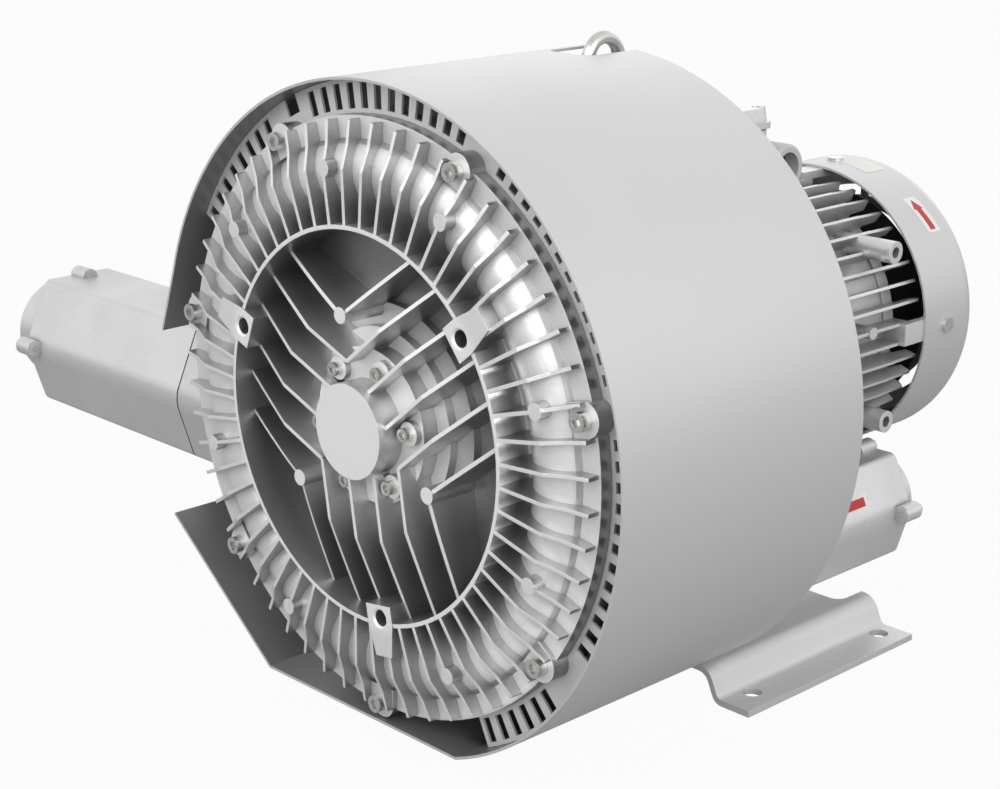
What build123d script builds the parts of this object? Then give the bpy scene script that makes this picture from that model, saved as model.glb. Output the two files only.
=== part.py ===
from build123d import *
import os
from math import cos, radians, sin, sqrt, tan

# A two-stage side channel blower: two bladed impellers on one shaft, driven by a finned
# electric motor, in a ribbed cast casing under a sheet hood. Millimetres, +Z up, the shaft
# along Y with the ribbed front cover facing -Y. The origin is on the floor at the centre
# of the four foot holes. A "station" is a distance behind the hood's front edge, and
# heights and offsets given with a station are measured from the shaft.

# Whole machine and its clearances
shaft_height = 240.0
feet_behind_flange = 104.0
fit_gap = 0.1
run_gap = 0.3
seat_gap = 0.3

# Hood: a rolled sheet with a flat bottom, open on the inlet side
hood_radius = 240.0
hood_sheet = 2.0
hood_overhang = 14.0
hood_bottom_drop = 224.0
hood_ear_slot = (44.0, 34.0)
hood_upper_flap_angle = 163.0
hood_upper_flap_tip = (-246.0, 20.0)
hood_lower_bend_x = -124.0
hood_lower_flap_tip = (-242.0, -129.0)
hood_notch_length = 54.0
hood_notch_width = 42.0
hood_bracket_width = 24.0
hood_bracket_overlap = 8.0
hood_bracket_reach = 16.0
hood_bracket_ears = (0, 1, 5, 6)

# Slotted ring in the front of the hood
grille_thickness = 2.0
grille_rim = 3.0
grille_pitch_angle = 3.6
grille_slot_width = 7.4
grille_start_angle = -65.0
grille_end_angle = 151.0
grille_notch_angle = 115.5
grille_notch = (14.0, 13.0)
grille_blank_half_angle = 4.6

# Casing joints and their seven clamping ears
cover_face_station = 8.0
flange_radius = 214.0
flange_thickness = 12.0
ear_count = 7
ear_start_angle = 65.3
ear_end_radius = 12.0
ear_rise = 4.0
ear_screw_circle = 209.0
rear_ear_screw_circle = 217.0
casing_screw_radius = 4.0
casing_screw_head_radius = 6.5
casing_screw_head_height = 8.0

# Side channels and impellers
stage_pitch = 112.0
impeller_width = 50.0
impeller_side_gap = 1.0
impeller_tip_gap = 1.5
channel_radius = 176.0
channel_half_width = 25.0
channel_depth = 17.0
channel_wall = 4.5
chamber_radius = 202.0
land_inner_radius = 143.0
land_outer_radius = 148.0
recess_radius = 139.0
impeller_rim_wall = 6.0
impeller_web = 8.0
vane_count = 40
vane_thickness = 3.0
impeller_hub_radius = 45.0
partition_wall = 8.0
casing_waist_radius = 190.0

# Front cover
cover_ring_station = -11.0
cover_ring_radius = 142.0
recess_floor_station = 28.0
floor_wall = 6.0
dome_station = -20.0
dome_radius = 34.0
dome_cavity_radius = 28.0
dome_wall = 4.0
hub_step_radii = (56.0, 68.0, 84.0)
hub_step_stations = (1.0, 14.0, 21.0)
rib_count = 56
rib_start_angle = 3.8
rib_thickness = 2.8
rib_base_lead = 4.0
rib_crest_station = -10.0
rib_tip_radius = 212.0
rib_tip_station = -1.0
rib_shoulder = (-4.0, 196.0)
rib_boss_numbers = (-26, -19, -10, -4, 2, 9, 15, 21)
rib_boss_radius = 6.0
rib_boss_circle = 180.0
lug_count = 3
lug_start_angle = -81.0
lug_circle = 136.0
lug_face_station = -12.0
lug_hole_radius = 6.0
lug_hole_depth = 26.0
lug_chamfer = 1.5
lug_width = 26.0
lug_tip_width = 17.0
lug_inner_radius = 126.0
lug_outer_radius = 164.0
spoke_count = 6
spoke_pitch = 27.7
spoke_thickness = 2.8
spoke_inner_station = -13.0
spoke_outer_station = 5.0
spoke_junction_radius = 80.0
spoke_boss_radius = 6.0
hub_screw_count = 6
hub_screw_start_angle = -53.0
hub_screw_circle = 46.0
hub_screw_pad_radius = 8.5
hub_screw_pad_station = -4.0
hub_screw_radius = 3.0
hub_screw_head_radius = 5.0
hub_screw_head_height = 6.0

# Shaft, bearings and seals
end_journal_radius = 15.0
impeller_seat_radius = 19.0
seal_journal_radius = 22.0
drive_journal_radius = 22.5
core_seat_radius = 27.0
fan_seat_radius = 12.0
end_bearing_width = 19.0
end_bearing_radius = 36.0
bearing_hub_wall = 16.0
retainer_lip = 6.0
drive_bearing_width = 25.0
drive_bearing_radius = 50.0
race_split = 0.5
spacer_wall = 8.0
sleeve_wall = 7.0
bush_wall = 7.0
seal_width = 10.0
seal_pocket_radius = 36.0
retainer_thickness = 4.0
retainer_spigot = 8.0
nut_thickness = 8.0
nut_radius = 21.0

# Rear casing, with the lantern that carries the motor
rear_wall = 6.0
lantern_radius = 118.0
lantern_wall = 8.0
lantern_length = 54.0
motor_flange_radius = 125.0
motor_flange_thickness = 12.0
spigot_radius = 90.0
spigot_depth = 6.0
rear_rib_count = 28
rear_rib_thickness = 4.0
rear_rib_rise = 8.0
lifting_web = 16.0
lifting_boss_radius = 15.0
lifting_boss_height = 208.0
lifting_behind_flange = 2.0

# Eyebolt
eye_ring_radius = 16.0
eye_wire_radius = 5.0
eye_collar_radius = 13.0
eye_collar_height = 5.0
eye_shank_radius = 5.0
eye_shank_length = 18.0

# Foot: one bent sheet
foot_length = 206.0
foot_sheet = 5.0
foot_half_width = 164.0
foot_web_foot_x = 131.0
foot_web_top_x = 121.0
foot_height = 27.0
foot_bend_radius = 10.0
foot_hole_spacing = (288.0, 160.0)
foot_hole_radius = 7.5
foot_hole_inset = 28.0
foot_plate_cut = 30.0
foot_plate_cut_width = 224.0

# Pedestal of the rear casing, standing on the foot
pedestal_width = 70.0
pedestal_offset = -5.0
pedestal_base_width = 92.0
pedestal_base_length = 48.0
pedestal_base_thickness = 10.0
pedestal_gusset = 8.0
pedestal_gusset_reach = 30.0
foot_screw_radius = 4.0
foot_screw_head_radius = 6.5
foot_screw_head_height = 8.0
foot_screw_spacing = (72.0, 18.0)
foot_screw_inset = 22.0
foot_nut_radius = 7.0
foot_nut_thickness = 6.0

# Silencers: half width, half height, half of the top flat, half of the bottom flat
inlet_section = (57.0, 54.0, 33.0, 40.0)
outlet_section = (45.5, 43.0, 26.0, 32.0)
silencer_length = 215.0
silencer_edge_radius = 7.0
silencer_side_radius = 28.0
silencer_wall = 4.5
silencer_end_wall = 10.0
silencer_ear_radius = 7.5
silencer_ear_height = 10.0
silencer_ear_offset = 3.0
gasket_thickness = 1.5
end_flange_thickness = 9.0
inlet_nose = (44.0, 32.0)
outlet_nose = (38.4, 10.0)
port_thread_radius = 28.4
passage_radius = 27.0
end_screw_radius = 2.5
end_screw_head_radius = 4.5
end_screw_head_height = 5.0
tie_screw_radius = 3.0
tie_screw_head_radius = 5.0
tie_screw_head_height = 6.0
tie_screw_angle = 42.0
inlet_tie_circle = 43.0
outlet_tie_circle = 33.5
inlet_height = -48.0
inlet_joint_x = -275.0
inlet_neck_length = 57.5
inlet_neck_wall = 9.0
inlet_throat = (76.0, 84.0)
outlet_x = 82.0
outlet_height = -147.0
outlet_neck_radius = 36.0
outlet_flange_thickness = 7.5
outlet_neck_length = 64.5

# Motor
shield_thickness = 10.0
shield_hub_wall = 10.0
shield_rim = 12.0
shield_lip = 2.0
shield_screw_circle = 107.5
shield_screw_count = 4
shield_screw_radius = 5.0
shield_screw_head_radius = 8.0
shield_screw_head_height = 9.0
frame_length = 224.0
frame_inner_radius = 88.0
frame_outer_radius = 95.0
fin_tip_radius = 112.0
fin_count = 44
fin_thickness = 2.6
fin_inset = 12.0
core_inset = 44.0
core_length = 140.0
stator_bore_radius = 61.0
air_gap = 0.5
winding_length = 22.0
winding_inner_radius = 64.0
winding_outer_radius = 84.0
frame_pad_height = 70.0
frame_pad_insets = (37.0, 210.0)
frame_pad_radius = 9.0
frame_pad_bore_radius = 4.5
frame_pad_bore_depth = 20.0
frame_pad_reach = 114.0
small_pad_insets = (147.0, 187.0)
small_pad_heights = (80.0, 8.0)
small_pad_radius = 5.0
fan_shield_screw_circle = 91.5
fan_shield_screw_radius = 2.5
fan_shield_screw_head_radius = 4.3
fan_shield_screw_head_height = 5.0
fan_shield_screw_length = 24.0
cowl_arm_width = 18.0
cowl_arm_thickness = 7.0
cowl_arm_length = 52.0

# Fan and cowl
fan_inset = 20.0
fan_width = 26.0
fan_radius = 98.0
fan_hub_radius = 22.0
fan_disc_radius = 94.0
fan_disc_thickness = 3.0
fan_blade_count = 9
fan_blade_thickness = 3.0
fan_clip_thickness = 2.0
cowl_inset = 13.0
cowl_length = 74.0
cowl_radius = 120.0
cowl_sheet = 2.0
cowl_edge_radius = 18.0
cowl_slot_radii = (30.0, 48.0, 66.0, 84.0)
cowl_slot_width = 9.0
cowl_slot_spokes = 6
cowl_spoke_width = 8.0
cowl_screw_inset = 29.0
cowl_screw_radius = 3.0
cowl_screw_head_radius = 6.5
cowl_screw_head_height = 2.5

# Terminal box on top of the motor
box_inset = 24.0
box_width = 100.0
box_length = 104.0
box_floor_height = 104.0
box_depth = 66.0
box_wall = 4.0
box_corner_radius = 9.0
box_post_radius = 7.0
box_pad_width = 80.0
box_screw_radius = 2.5
box_screw_head_radius = 4.3
box_screw_head_height = 3.0
lid_height = 15.5
lid_rim_thickness = 5.0
lid_overhang = 3.0
lid_taper = 8.0
block_width = 44.0
block_length = 56.0
block_height = 14.0
stud_radius = 2.5
stud_height = 10.0
gland_inset = 80.0
gland_height = 153.0
gland_radius = 20.0
gland_flange = 6.0
gland_nut_radius = 18.0
gland_reach = 56.0
gland_bore_radius = 12.0
gland_thread_radius = 15.0
gland_seal_wall = 3.0
gland_seal_length = 16.0

os.makedirs("parts", exist_ok=True)

# Stations worked out from the driving dimensions
front_joint = cover_face_station + flange_thickness
rear_joint = front_joint + stage_pitch
chamber_width = impeller_width + 2 * impeller_side_gap
front_chamber_end = front_joint + chamber_width
rear_chamber_end = rear_joint + chamber_width
front_impeller_station = front_joint + impeller_side_gap
front_impeller_end = front_impeller_station + impeller_width
rear_impeller_station = rear_joint + impeller_side_gap
web_offset = (impeller_width - impeller_web) / 2
front_web_station = front_impeller_station + web_offset
rear_web_end = rear_impeller_station + web_offset + impeller_web
partition_station = (front_chamber_end + rear_joint - partition_wall) / 2
cover_back_station = recess_floor_station + floor_wall
retainer_end = front_web_station - 2 * impeller_side_gap
hub_back_station = retainer_end - retainer_thickness
front_bearing_end = hub_back_station - retainer_spigot
front_bearing_station = front_bearing_end - end_bearing_width
rear_wall_station = rear_web_end + rear_wall
rear_wall_back = rear_wall_station + rear_wall
seal_station = rear_wall_back + rear_wall
motor_flange_station = rear_wall_back + lantern_length
frame_station = motor_flange_station + shield_thickness
frame_end = frame_station + frame_length
drive_bearing_station = motor_flange_station + 3
core_station = frame_station + core_inset
core_end = core_station + core_length
fan_bearing_station = frame_end - spigot_depth
fan_bearing_end = fan_bearing_station + end_bearing_width
fan_station = fan_bearing_end + fan_inset
cowl_station = frame_end + shield_rim + cowl_inset
cowl_end = cowl_station + cowl_length
cowl_screw_station = cowl_station + cowl_screw_inset
hood_length = motor_flange_station + hood_overhang
hood_front = -(motor_flange_station + feet_behind_flange)
foot_station = motor_flange_station + feet_behind_flange - foot_hole_spacing[1] / 2 - foot_hole_inset
box_station = frame_station + box_inset
lifting_station = motor_flange_station + lifting_behind_flange

# Radii worked out from the driving dimensions
channel_inner_arc = (channel_half_width**2 + channel_depth**2) / (2 * channel_depth)
channel_outer_arc = channel_inner_arc + channel_wall
channel_centre_depth = channel_inner_arc - channel_depth
channel_foot_radius = channel_radius - channel_half_width
channel_head_radius = channel_radius + channel_half_width
casing_outer_radius = channel_radius + channel_outer_arc
hood_inner_radius = hood_radius - hood_sheet
impeller_radius = chamber_radius - impeller_tip_gap
impeller_rim_radius = land_inner_radius + impeller_tip_gap
sleeve_radius = impeller_seat_radius + sleeve_wall
floor_height = -shaft_height
foot_top_height = floor_height + foot_height
box_end_height = box_floor_height + box_depth

shaft_axis = Axis((0, hood_front, shaft_height), (0, 1, 0))
section = Plane(origin=(0, hood_front, shaft_height), x_dir=(0, 1, 0), z_dir=(1, 0, 0))


def facing(station):
    """Plane square to the shaft at a station, looking towards the front cover."""
    origin = (0, hood_front + station, shaft_height)
    return Plane(origin=origin, x_dir=(1, 0, 0), z_dir=(0, -1, 0))


def level(height, station=0.0):
    """Plane parallel to the floor at a height above the shaft, seen from above."""
    origin = (0, hood_front + station, shaft_height + height)
    return Plane(origin=origin, x_dir=(1, 0, 0), z_dir=(0, 0, 1))


def polar(radius, angle):
    """Point at a radius and an angle, as seen from the front."""
    return (radius * cos(radians(angle)), radius * sin(radians(angle)))


def ring_of(radius, count, start):
    """Evenly spaced points on a circle, as seen from the front."""
    return [polar(radius, start + 360 * number / count) for number in range(count)]


def channel_skin_depth(radius):
    """How far the skin over a side channel stands proud of its joint plane."""
    return sqrt(channel_outer_arc**2 - (radius - channel_radius) ** 2) - channel_centre_depth


def screws(plane, places, head_radius, head_height, shank_radius, shank_length):
    """Socket screws: heads stand on the plane and shanks go in behind it."""
    with BuildPart() as fasteners:
        with BuildSketch(plane):
            with Locations(*places):
                Circle(head_radius)
        extrude(amount=head_height)
        with BuildSketch(plane.offset(head_height)):
            with Locations(*places):
                RegularPolygon(head_radius * 0.6, 6)
        extrude(amount=-head_height * 0.6, mode=Mode.SUBTRACT)
        with BuildSketch(plane):
            with Locations(*places):
                Circle(shank_radius)
        extrude(amount=-shank_length)
    return fasteners.part


def race(station, width, inner_radius, outer_radius):
    """Plain ring about the shaft, such as one race of a bearing."""
    with BuildPart() as ring:
        with BuildSketch(section):
            with Locations((station + width / 2, (inner_radius + outer_radius) / 2)):
                Rectangle(width, outer_radius - inner_radius)
        revolve(axis=shaft_axis)
    return ring.part


def ears(screw_circle):
    """Outline of the seven screw ears of a flange, drawn flat about the shaft."""
    with BuildSketch() as outline:
        with PolarLocations(screw_circle, ear_count, start_angle=ear_start_angle):
            Circle(ear_end_radius)
            with Locations((-ear_end_radius / 2, 0)):
                Rectangle(ear_end_radius, 2 * ear_end_radius)
    return outline.sketch


# Front cover: radial ribs over the bulge of the first side channel
front_arc_centre = (front_joint + channel_centre_depth, channel_radius)
wall_middle_arc = channel_inner_arc + channel_wall / 2
skin_foot_station = front_joint - channel_skin_depth(land_outer_radius)
rib_foot_radius = (recess_radius + cover_ring_radius) / 2
rib_base_station = (cover_face_station + front_joint) / 2 - rib_base_lead
bearing_hub_radius = end_bearing_radius + bearing_hub_wall
with BuildPart() as cover_ribs:
    with BuildSketch(facing(front_joint)):
        with PolarLocations((rib_foot_radius + rib_tip_radius) / 2, rib_count, start_angle=rib_start_angle):
            Rectangle(rib_tip_radius - rib_foot_radius + 2, rib_thickness)
    extrude(amount=front_joint - cover_ring_station + 2)
    with BuildSketch(section):
        with BuildLine():
            Polyline(
                (cover_ring_station, rib_foot_radius),
                (rib_crest_station, rib_boss_circle),
                rib_shoulder,
                (rib_tip_station, rib_tip_radius),
                (rib_base_station, rib_tip_radius),
                (skin_foot_station + 1, land_outer_radius + 2),
                (skin_foot_station + 1, rib_foot_radius),
                close=True,
            )
        make_face()
        with Locations(front_arc_centre):
            Circle(wall_middle_arc, mode=Mode.SUBTRACT)
    revolve(axis=shaft_axis, mode=Mode.INTERSECT)

# Front cover: three groups of parallel ribs in the recess, each group square to a lug
spoke_offsets = [(number - (spoke_count - 1) / 2) * spoke_pitch for number in range(spoke_count)]
lug_angles = [lug_start_angle + 360 * number / lug_count for number in range(lug_count)]
dome_wall_radius = (dome_radius + dome_cavity_radius) / 2
with BuildPart() as recess_ribs:
    with BuildSketch(facing(cover_back_station)):
        for angle in lug_angles:
            with PolarLocations(0, 1, start_angle=angle):
                for offset_from_lug in spoke_offsets:
                    start = abs(offset_from_lug) / tan(radians(180 / lug_count))
                    if abs(offset_from_lug) < dome_wall_radius:
                        start = sqrt(dome_wall_radius**2 - offset_from_lug**2)
                    end = sqrt(rib_foot_radius**2 - offset_from_lug**2)
                    with Locations(((start + end) / 2, offset_from_lug)):
                        Rectangle(end - start, spoke_thickness)
    extrude(amount=cover_back_station - spoke_inner_station)
    with BuildSketch(section):
        with BuildLine():
            Polyline(
                (spoke_inner_station, dome_wall_radius - 2),
                (spoke_inner_station, spoke_junction_radius),
                (spoke_outer_station, rib_foot_radius),
                (recess_floor_station + 1, rib_foot_radius),
                (recess_floor_station + 1, hub_step_radii[2] - 2),
                (hub_step_stations[2] + 1, hub_step_radii[1] - 2),
                (hub_step_stations[1] + 1, hub_step_radii[0] - 2),
                (hub_step_stations[0] + 1, dome_wall_radius - 2),
                close=True,
            )
        make_face()
    revolve(axis=shaft_axis, mode=Mode.INTERSECT)

# Front cover: the cast shell itself, with its ears, lugs, bosses and bores
with BuildPart() as front_cover:
    with BuildSketch(section):
        with BuildLine():
            Polyline(
                (dome_station, 0),
                (dome_station, dome_radius),
                (hub_step_stations[0], dome_radius),
                (hub_step_stations[0], hub_step_radii[0]),
                (hub_step_stations[1], hub_step_radii[0]),
                (hub_step_stations[1], hub_step_radii[1]),
                (hub_step_stations[2], hub_step_radii[1]),
                (hub_step_stations[2], hub_step_radii[2]),
                (recess_floor_station, hub_step_radii[2]),
                (recess_floor_station, recess_radius),
                (cover_ring_station, recess_radius),
                (cover_ring_station, cover_ring_radius),
                (skin_foot_station, cover_ring_radius),
                (skin_foot_station, land_outer_radius),
            )
            skin_head_radius = channel_radius + sqrt(
                channel_outer_arc**2 - (flange_thickness + channel_centre_depth) ** 2
            )
            ThreePointArc(
                (skin_foot_station, land_outer_radius),
                (front_joint - channel_depth - channel_wall, channel_radius),
                (cover_face_station, skin_head_radius),
            )
            Polyline(
                (cover_face_station, skin_head_radius),
                (cover_face_station, flange_radius),
                (front_joint, flange_radius),
                (front_joint, channel_head_radius),
            )
            ThreePointArc(
                (front_joint, channel_head_radius),
                (front_joint - channel_depth, channel_radius),
                (front_joint, channel_foot_radius),
            )
            Polyline(
                (front_joint, channel_foot_radius),
                (front_joint, land_inner_radius),
                (cover_back_station, land_inner_radius),
                (cover_back_station, bearing_hub_radius),
                (hub_back_station, bearing_hub_radius),
                (hub_back_station, end_bearing_radius),
                (front_bearing_station, end_bearing_radius),
                (front_bearing_station, dome_cavity_radius),
                (dome_station + dome_wall, dome_cavity_radius),
                (dome_station + dome_wall, 0),
                (dome_station, 0),
            )
        make_face()
    revolve(axis=shaft_axis)
    add(cover_ribs.part)
    add(recess_ribs.part)
    with BuildSketch(facing(front_joint - grille_thickness)):
        add(ears(ear_screw_circle))
    extrude(amount=flange_thickness + ear_rise - grille_thickness)
    with BuildSketch(facing(front_joint - channel_depth - channel_wall / 2)):
        rib_pitch = 360 / rib_count
        rib_boss_angles = [rib_start_angle + number * rib_pitch for number in rib_boss_numbers]
        with Locations(*[polar(rib_boss_circle, angle) for angle in rib_boss_angles]):
            Circle(rib_boss_radius)
    extrude(amount=front_joint - channel_depth - channel_wall / 2 - rib_crest_station)
    with BuildSketch(facing(hub_step_stations[2] + 1)):
        with PolarLocations(spoke_junction_radius, lug_count, start_angle=lug_start_angle + 180):
            Circle(spoke_boss_radius)
    extrude(amount=hub_step_stations[2] + 2 - spoke_inner_station)
    with BuildSketch(facing(hub_step_stations[0] + 1)):
        with Locations(*ring_of(hub_screw_circle, hub_screw_count, hub_screw_start_angle)):
            Circle(hub_screw_pad_radius)
    extrude(amount=hub_step_stations[0] + 1 - hub_screw_pad_station)
    with BuildSketch(facing(recess_floor_station + 1)):
        with PolarLocations(0, lug_count, start_angle=lug_start_angle):
            Polygon(
                (lug_inner_radius, -lug_width / 2),
                (rib_foot_radius, -lug_width / 2),
                (rib_foot_radius, lug_width / 2),
                (lug_inner_radius, lug_width / 2),
                align=None,
            )
    extrude(amount=recess_floor_station + 1 - lug_face_station)
    with BuildSketch(facing(front_joint - channel_depth - channel_wall / 2)):
        with PolarLocations(0, lug_count, start_angle=lug_start_angle):
            Polygon(
                (rib_foot_radius, -lug_width / 2),
                (lug_outer_radius, -lug_tip_width / 2),
                (lug_outer_radius, lug_tip_width / 2),
                (rib_foot_radius, lug_width / 2),
                align=None,
            )
    extrude(amount=front_joint - channel_depth - channel_wall / 2 - lug_face_station)
    with BuildSketch(facing(lug_face_station)):
        with PolarLocations(lug_circle, lug_count, start_angle=lug_start_angle):
            Circle(lug_hole_radius)
    extrude(amount=-lug_hole_depth, mode=Mode.SUBTRACT)
    with BuildSketch(facing(lug_face_station)):
        with PolarLocations(lug_circle, lug_count, start_angle=lug_start_angle):
            Circle(lug_hole_radius + lug_chamfer)
    extrude(amount=-lug_chamfer, taper=45, mode=Mode.SUBTRACT)
    with BuildSketch(facing(hub_screw_pad_station)):
        with Locations(*ring_of(hub_screw_circle, hub_screw_count, hub_screw_start_angle)):
            Circle(hub_screw_head_radius + 1)
    extrude(amount=hub_screw_pad_station - dome_station, mode=Mode.SUBTRACT)
    with BuildSketch(facing(hub_back_station)):
        with Locations(*ring_of(hub_screw_circle, hub_screw_count, hub_screw_start_angle)):
            Circle(hub_screw_radius + fit_gap)
    extrude(amount=hub_back_station - hub_screw_pad_station, mode=Mode.SUBTRACT)
    with BuildSketch(facing(cover_face_station - ear_rise)):
        with Locations(*ring_of(ear_screw_circle, ear_count, ear_start_angle)):
            Circle(casing_screw_head_radius + 3)
    extrude(amount=-cover_ring_station, mode=Mode.SUBTRACT)
    with BuildSketch(facing(front_joint)):
        with Locations(*ring_of(ear_screw_circle, ear_count, ear_start_angle)):
            Circle(casing_screw_radius + fit_gap)
    extrude(amount=flange_thickness + ear_rise, mode=Mode.SUBTRACT)
front_cover.part.label = "front_cover"
export_step(front_cover.part, "parts/front_cover.step")

with BuildPart() as cover_screws:
    add(
        screws(
            facing(cover_face_station - ear_rise),
            ring_of(ear_screw_circle, ear_count, ear_start_angle),
            casing_screw_head_radius,
            casing_screw_head_height,
            casing_screw_radius,
            ear_rise + 2 * flange_thickness,
        )
    )
cover_screws.part.label = "cover_screws"
export_step(cover_screws.part, "parts/cover_screws.step")

# Bearing retainer: held to the back of the cover's hub by six screws from the front
with BuildPart() as bearing_retainer:
    with BuildSketch(section):
        with BuildLine():
            Polyline(
                (hub_back_station, bearing_hub_radius),
                (retainer_end, bearing_hub_radius),
                (retainer_end, end_bearing_radius - retainer_lip),
                (front_bearing_end, end_bearing_radius - retainer_lip),
                (front_bearing_end, end_bearing_radius - fit_gap),
                (hub_back_station, end_bearing_radius - fit_gap),
                close=True,
            )
        make_face()
    revolve(axis=shaft_axis)
    with BuildSketch(facing(retainer_end)):
        with Locations(*ring_of(hub_screw_circle, hub_screw_count, hub_screw_start_angle)):
            Circle(hub_screw_radius + fit_gap)
    extrude(amount=retainer_thickness, mode=Mode.SUBTRACT)
bearing_retainer.part.label = "bearing_retainer"
export_step(bearing_retainer.part, "parts/bearing_retainer.step")

with BuildPart() as hub_screws:
    add(
        screws(
            facing(hub_screw_pad_station),
            ring_of(hub_screw_circle, hub_screw_count, hub_screw_start_angle),
            hub_screw_head_radius,
            hub_screw_head_height,
            hub_screw_radius,
            retainer_end - hub_screw_pad_station,
        )
    )
hub_screws.part.label = "hub_screws"
export_step(hub_screws.part, "parts/hub_screws.step")

# Middle casing: back of the first channel, front of the second, inlet neck on one side
inlet_station = (front_chamber_end + partition_station) / 2
outlet_joint_station = rear_wall_back + outlet_neck_length + outlet_flange_thickness
inlet_plane = Plane(
    origin=(inlet_joint_x, hood_front + inlet_station, shaft_height + inlet_height),
    x_dir=(0, -1, 0),
    z_dir=(-1, 0, 0),
)
outlet_plane = Plane(
    origin=(outlet_x, hood_front + outlet_joint_station, shaft_height + outlet_height),
    x_dir=(-1, 0, 0),
    z_dir=(0, 1, 0),
)


def silencer_outline(size, inset=0.0):
    """Six-sided section of a silencer, about its own centre."""
    half_width, half_height, half_top, half_bottom = size
    with BuildSketch() as outline:
        with BuildLine():
            Polyline(
                (-half_width, 0),
                (-half_top, half_height),
                (half_top, half_height),
                (half_width, 0),
                (half_bottom, -half_height),
                (-half_bottom, -half_height),
                close=True,
            )
        make_face()
        corners = outline.vertices().sort_by(Axis.X)
        fillet([corners[0], corners[-1]], silencer_side_radius)
        edge_corners = outline.vertices().group_by(Axis.Y)
        fillet(edge_corners[0] + edge_corners[-1], silencer_edge_radius)
        if inset:
            offset(amount=-inset)
    return outline.sketch


def ear_points(size):
    """Centres of the four screw ears round a silencer's end."""
    half_width, half_height, half_top, half_bottom = size
    side = half_width + silencer_ear_offset
    return [(side, 0), (0, half_height), (-side, 0), (0, -half_height)]


inlet_throat_depth = -inlet_joint_x - channel_radius
with BuildPart() as inlet_neck:
    with BuildSketch(inlet_plane):
        add(silencer_outline(inlet_section))
    extrude(amount=-inlet_neck_length)
    with BuildSketch(inlet_plane):
        add(silencer_outline(inlet_section, silencer_wall))
    extrude(amount=inlet_neck_wall - inlet_neck_length, mode=Mode.SUBTRACT)
    with BuildSketch(inlet_plane.offset(-inlet_neck_length)):
        RectangleRounded(inlet_throat[0], inlet_throat[1], silencer_edge_radius)
    extrude(amount=inlet_neck_length - inlet_throat_depth)

front_outer_arc_centre = front_chamber_end - channel_centre_depth
rear_outer_arc_centre = rear_joint + channel_centre_depth
waist_reach = sqrt(channel_outer_arc**2 - (casing_waist_radius - channel_radius) ** 2)
waist_rise = (casing_outer_radius + casing_waist_radius) / 2
rise_reach = sqrt(channel_outer_arc**2 - (waist_rise - channel_radius) ** 2)
rear_flange_reach = rear_outer_arc_centre - rear_joint + flange_thickness
rear_flange_root = channel_radius + sqrt(channel_outer_arc**2 - rear_flange_reach**2)
with BuildPart() as stage_cavities:
    with BuildSketch(section):
        with BuildLine():
            Polyline(
                (front_chamber_end, channel_foot_radius),
                (front_chamber_end, land_inner_radius),
                (front_joint - flange_thickness, land_inner_radius),
                (front_joint - flange_thickness, chamber_radius),
                (front_chamber_end, chamber_radius),
                (front_chamber_end, channel_head_radius),
            )
            ThreePointArc(
                (front_chamber_end, channel_head_radius),
                (front_chamber_end + channel_depth, channel_radius),
                (front_chamber_end, channel_foot_radius),
            )
        make_face()
        with BuildLine():
            Line((rear_joint, channel_foot_radius), (rear_joint, channel_head_radius))
            ThreePointArc(
                (rear_joint, channel_head_radius),
                (rear_joint - channel_depth, channel_radius),
                (rear_joint, channel_foot_radius),
            )
        make_face()
    revolve(axis=shaft_axis)

with BuildPart() as middle_casing:
    with BuildSketch(section):
        with BuildLine():
            Polyline(
                (front_chamber_end, chamber_radius),
                (front_joint, chamber_radius),
                (front_joint, flange_radius),
                (front_joint + flange_thickness, flange_radius),
                (front_joint + flange_thickness, casing_outer_radius),
                (front_outer_arc_centre, casing_outer_radius),
            )
            ThreePointArc(
                (front_outer_arc_centre, casing_outer_radius),
                (front_outer_arc_centre + rise_reach, waist_rise),
                (front_outer_arc_centre + waist_reach, casing_waist_radius),
            )
            Polyline(
                (front_outer_arc_centre + waist_reach, casing_waist_radius),
                (rear_outer_arc_centre - waist_reach, casing_waist_radius),
                (rear_joint - flange_thickness, rear_flange_root),
                (rear_joint - flange_thickness, flange_radius),
                (rear_joint, flange_radius),
                (rear_joint, land_inner_radius),
                (partition_station + partition_wall, land_inner_radius),
                (partition_station + partition_wall, sleeve_radius + bush_wall),
                (partition_station, sleeve_radius + bush_wall),
                (partition_station, land_inner_radius),
                (front_chamber_end, land_inner_radius),
                (front_chamber_end, chamber_radius),
            )
        make_face()
    revolve(axis=shaft_axis)
    with BuildSketch(facing(front_joint + flange_thickness)):
        add(ears(ear_screw_circle))
        Circle(chamber_radius + 1, mode=Mode.SUBTRACT)
    extrude(amount=flange_thickness)
    with BuildSketch(facing(rear_joint)):
        add(ears(rear_ear_screw_circle))
        Circle(chamber_radius + 1, mode=Mode.SUBTRACT)
    extrude(amount=flange_thickness)
    add(inlet_neck.part)
    add(stage_cavities.part, mode=Mode.SUBTRACT)
    with BuildSketch(inlet_plane):
        Circle(passage_radius)
    extrude(amount=-inlet_throat_depth, mode=Mode.SUBTRACT)
    with BuildSketch(inlet_plane):
        with Locations(*ring_of(inlet_tie_circle, 4, tie_screw_angle)):
            Circle(tie_screw_radius + fit_gap)
    extrude(amount=-inlet_neck_length, mode=Mode.SUBTRACT)
    with BuildSketch(facing(front_joint + flange_thickness)):
        with Locations(*ring_of(ear_screw_circle, ear_count, ear_start_angle)):
            Circle(casing_screw_radius + fit_gap)
    extrude(amount=flange_thickness, mode=Mode.SUBTRACT)
    with BuildSketch(facing(rear_joint)):
        with Locations(*ring_of(rear_ear_screw_circle, ear_count, ear_start_angle)):
            Circle(casing_screw_radius + fit_gap)
    extrude(amount=flange_thickness, mode=Mode.SUBTRACT)
middle_casing.part.label = "middle_casing"
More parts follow.
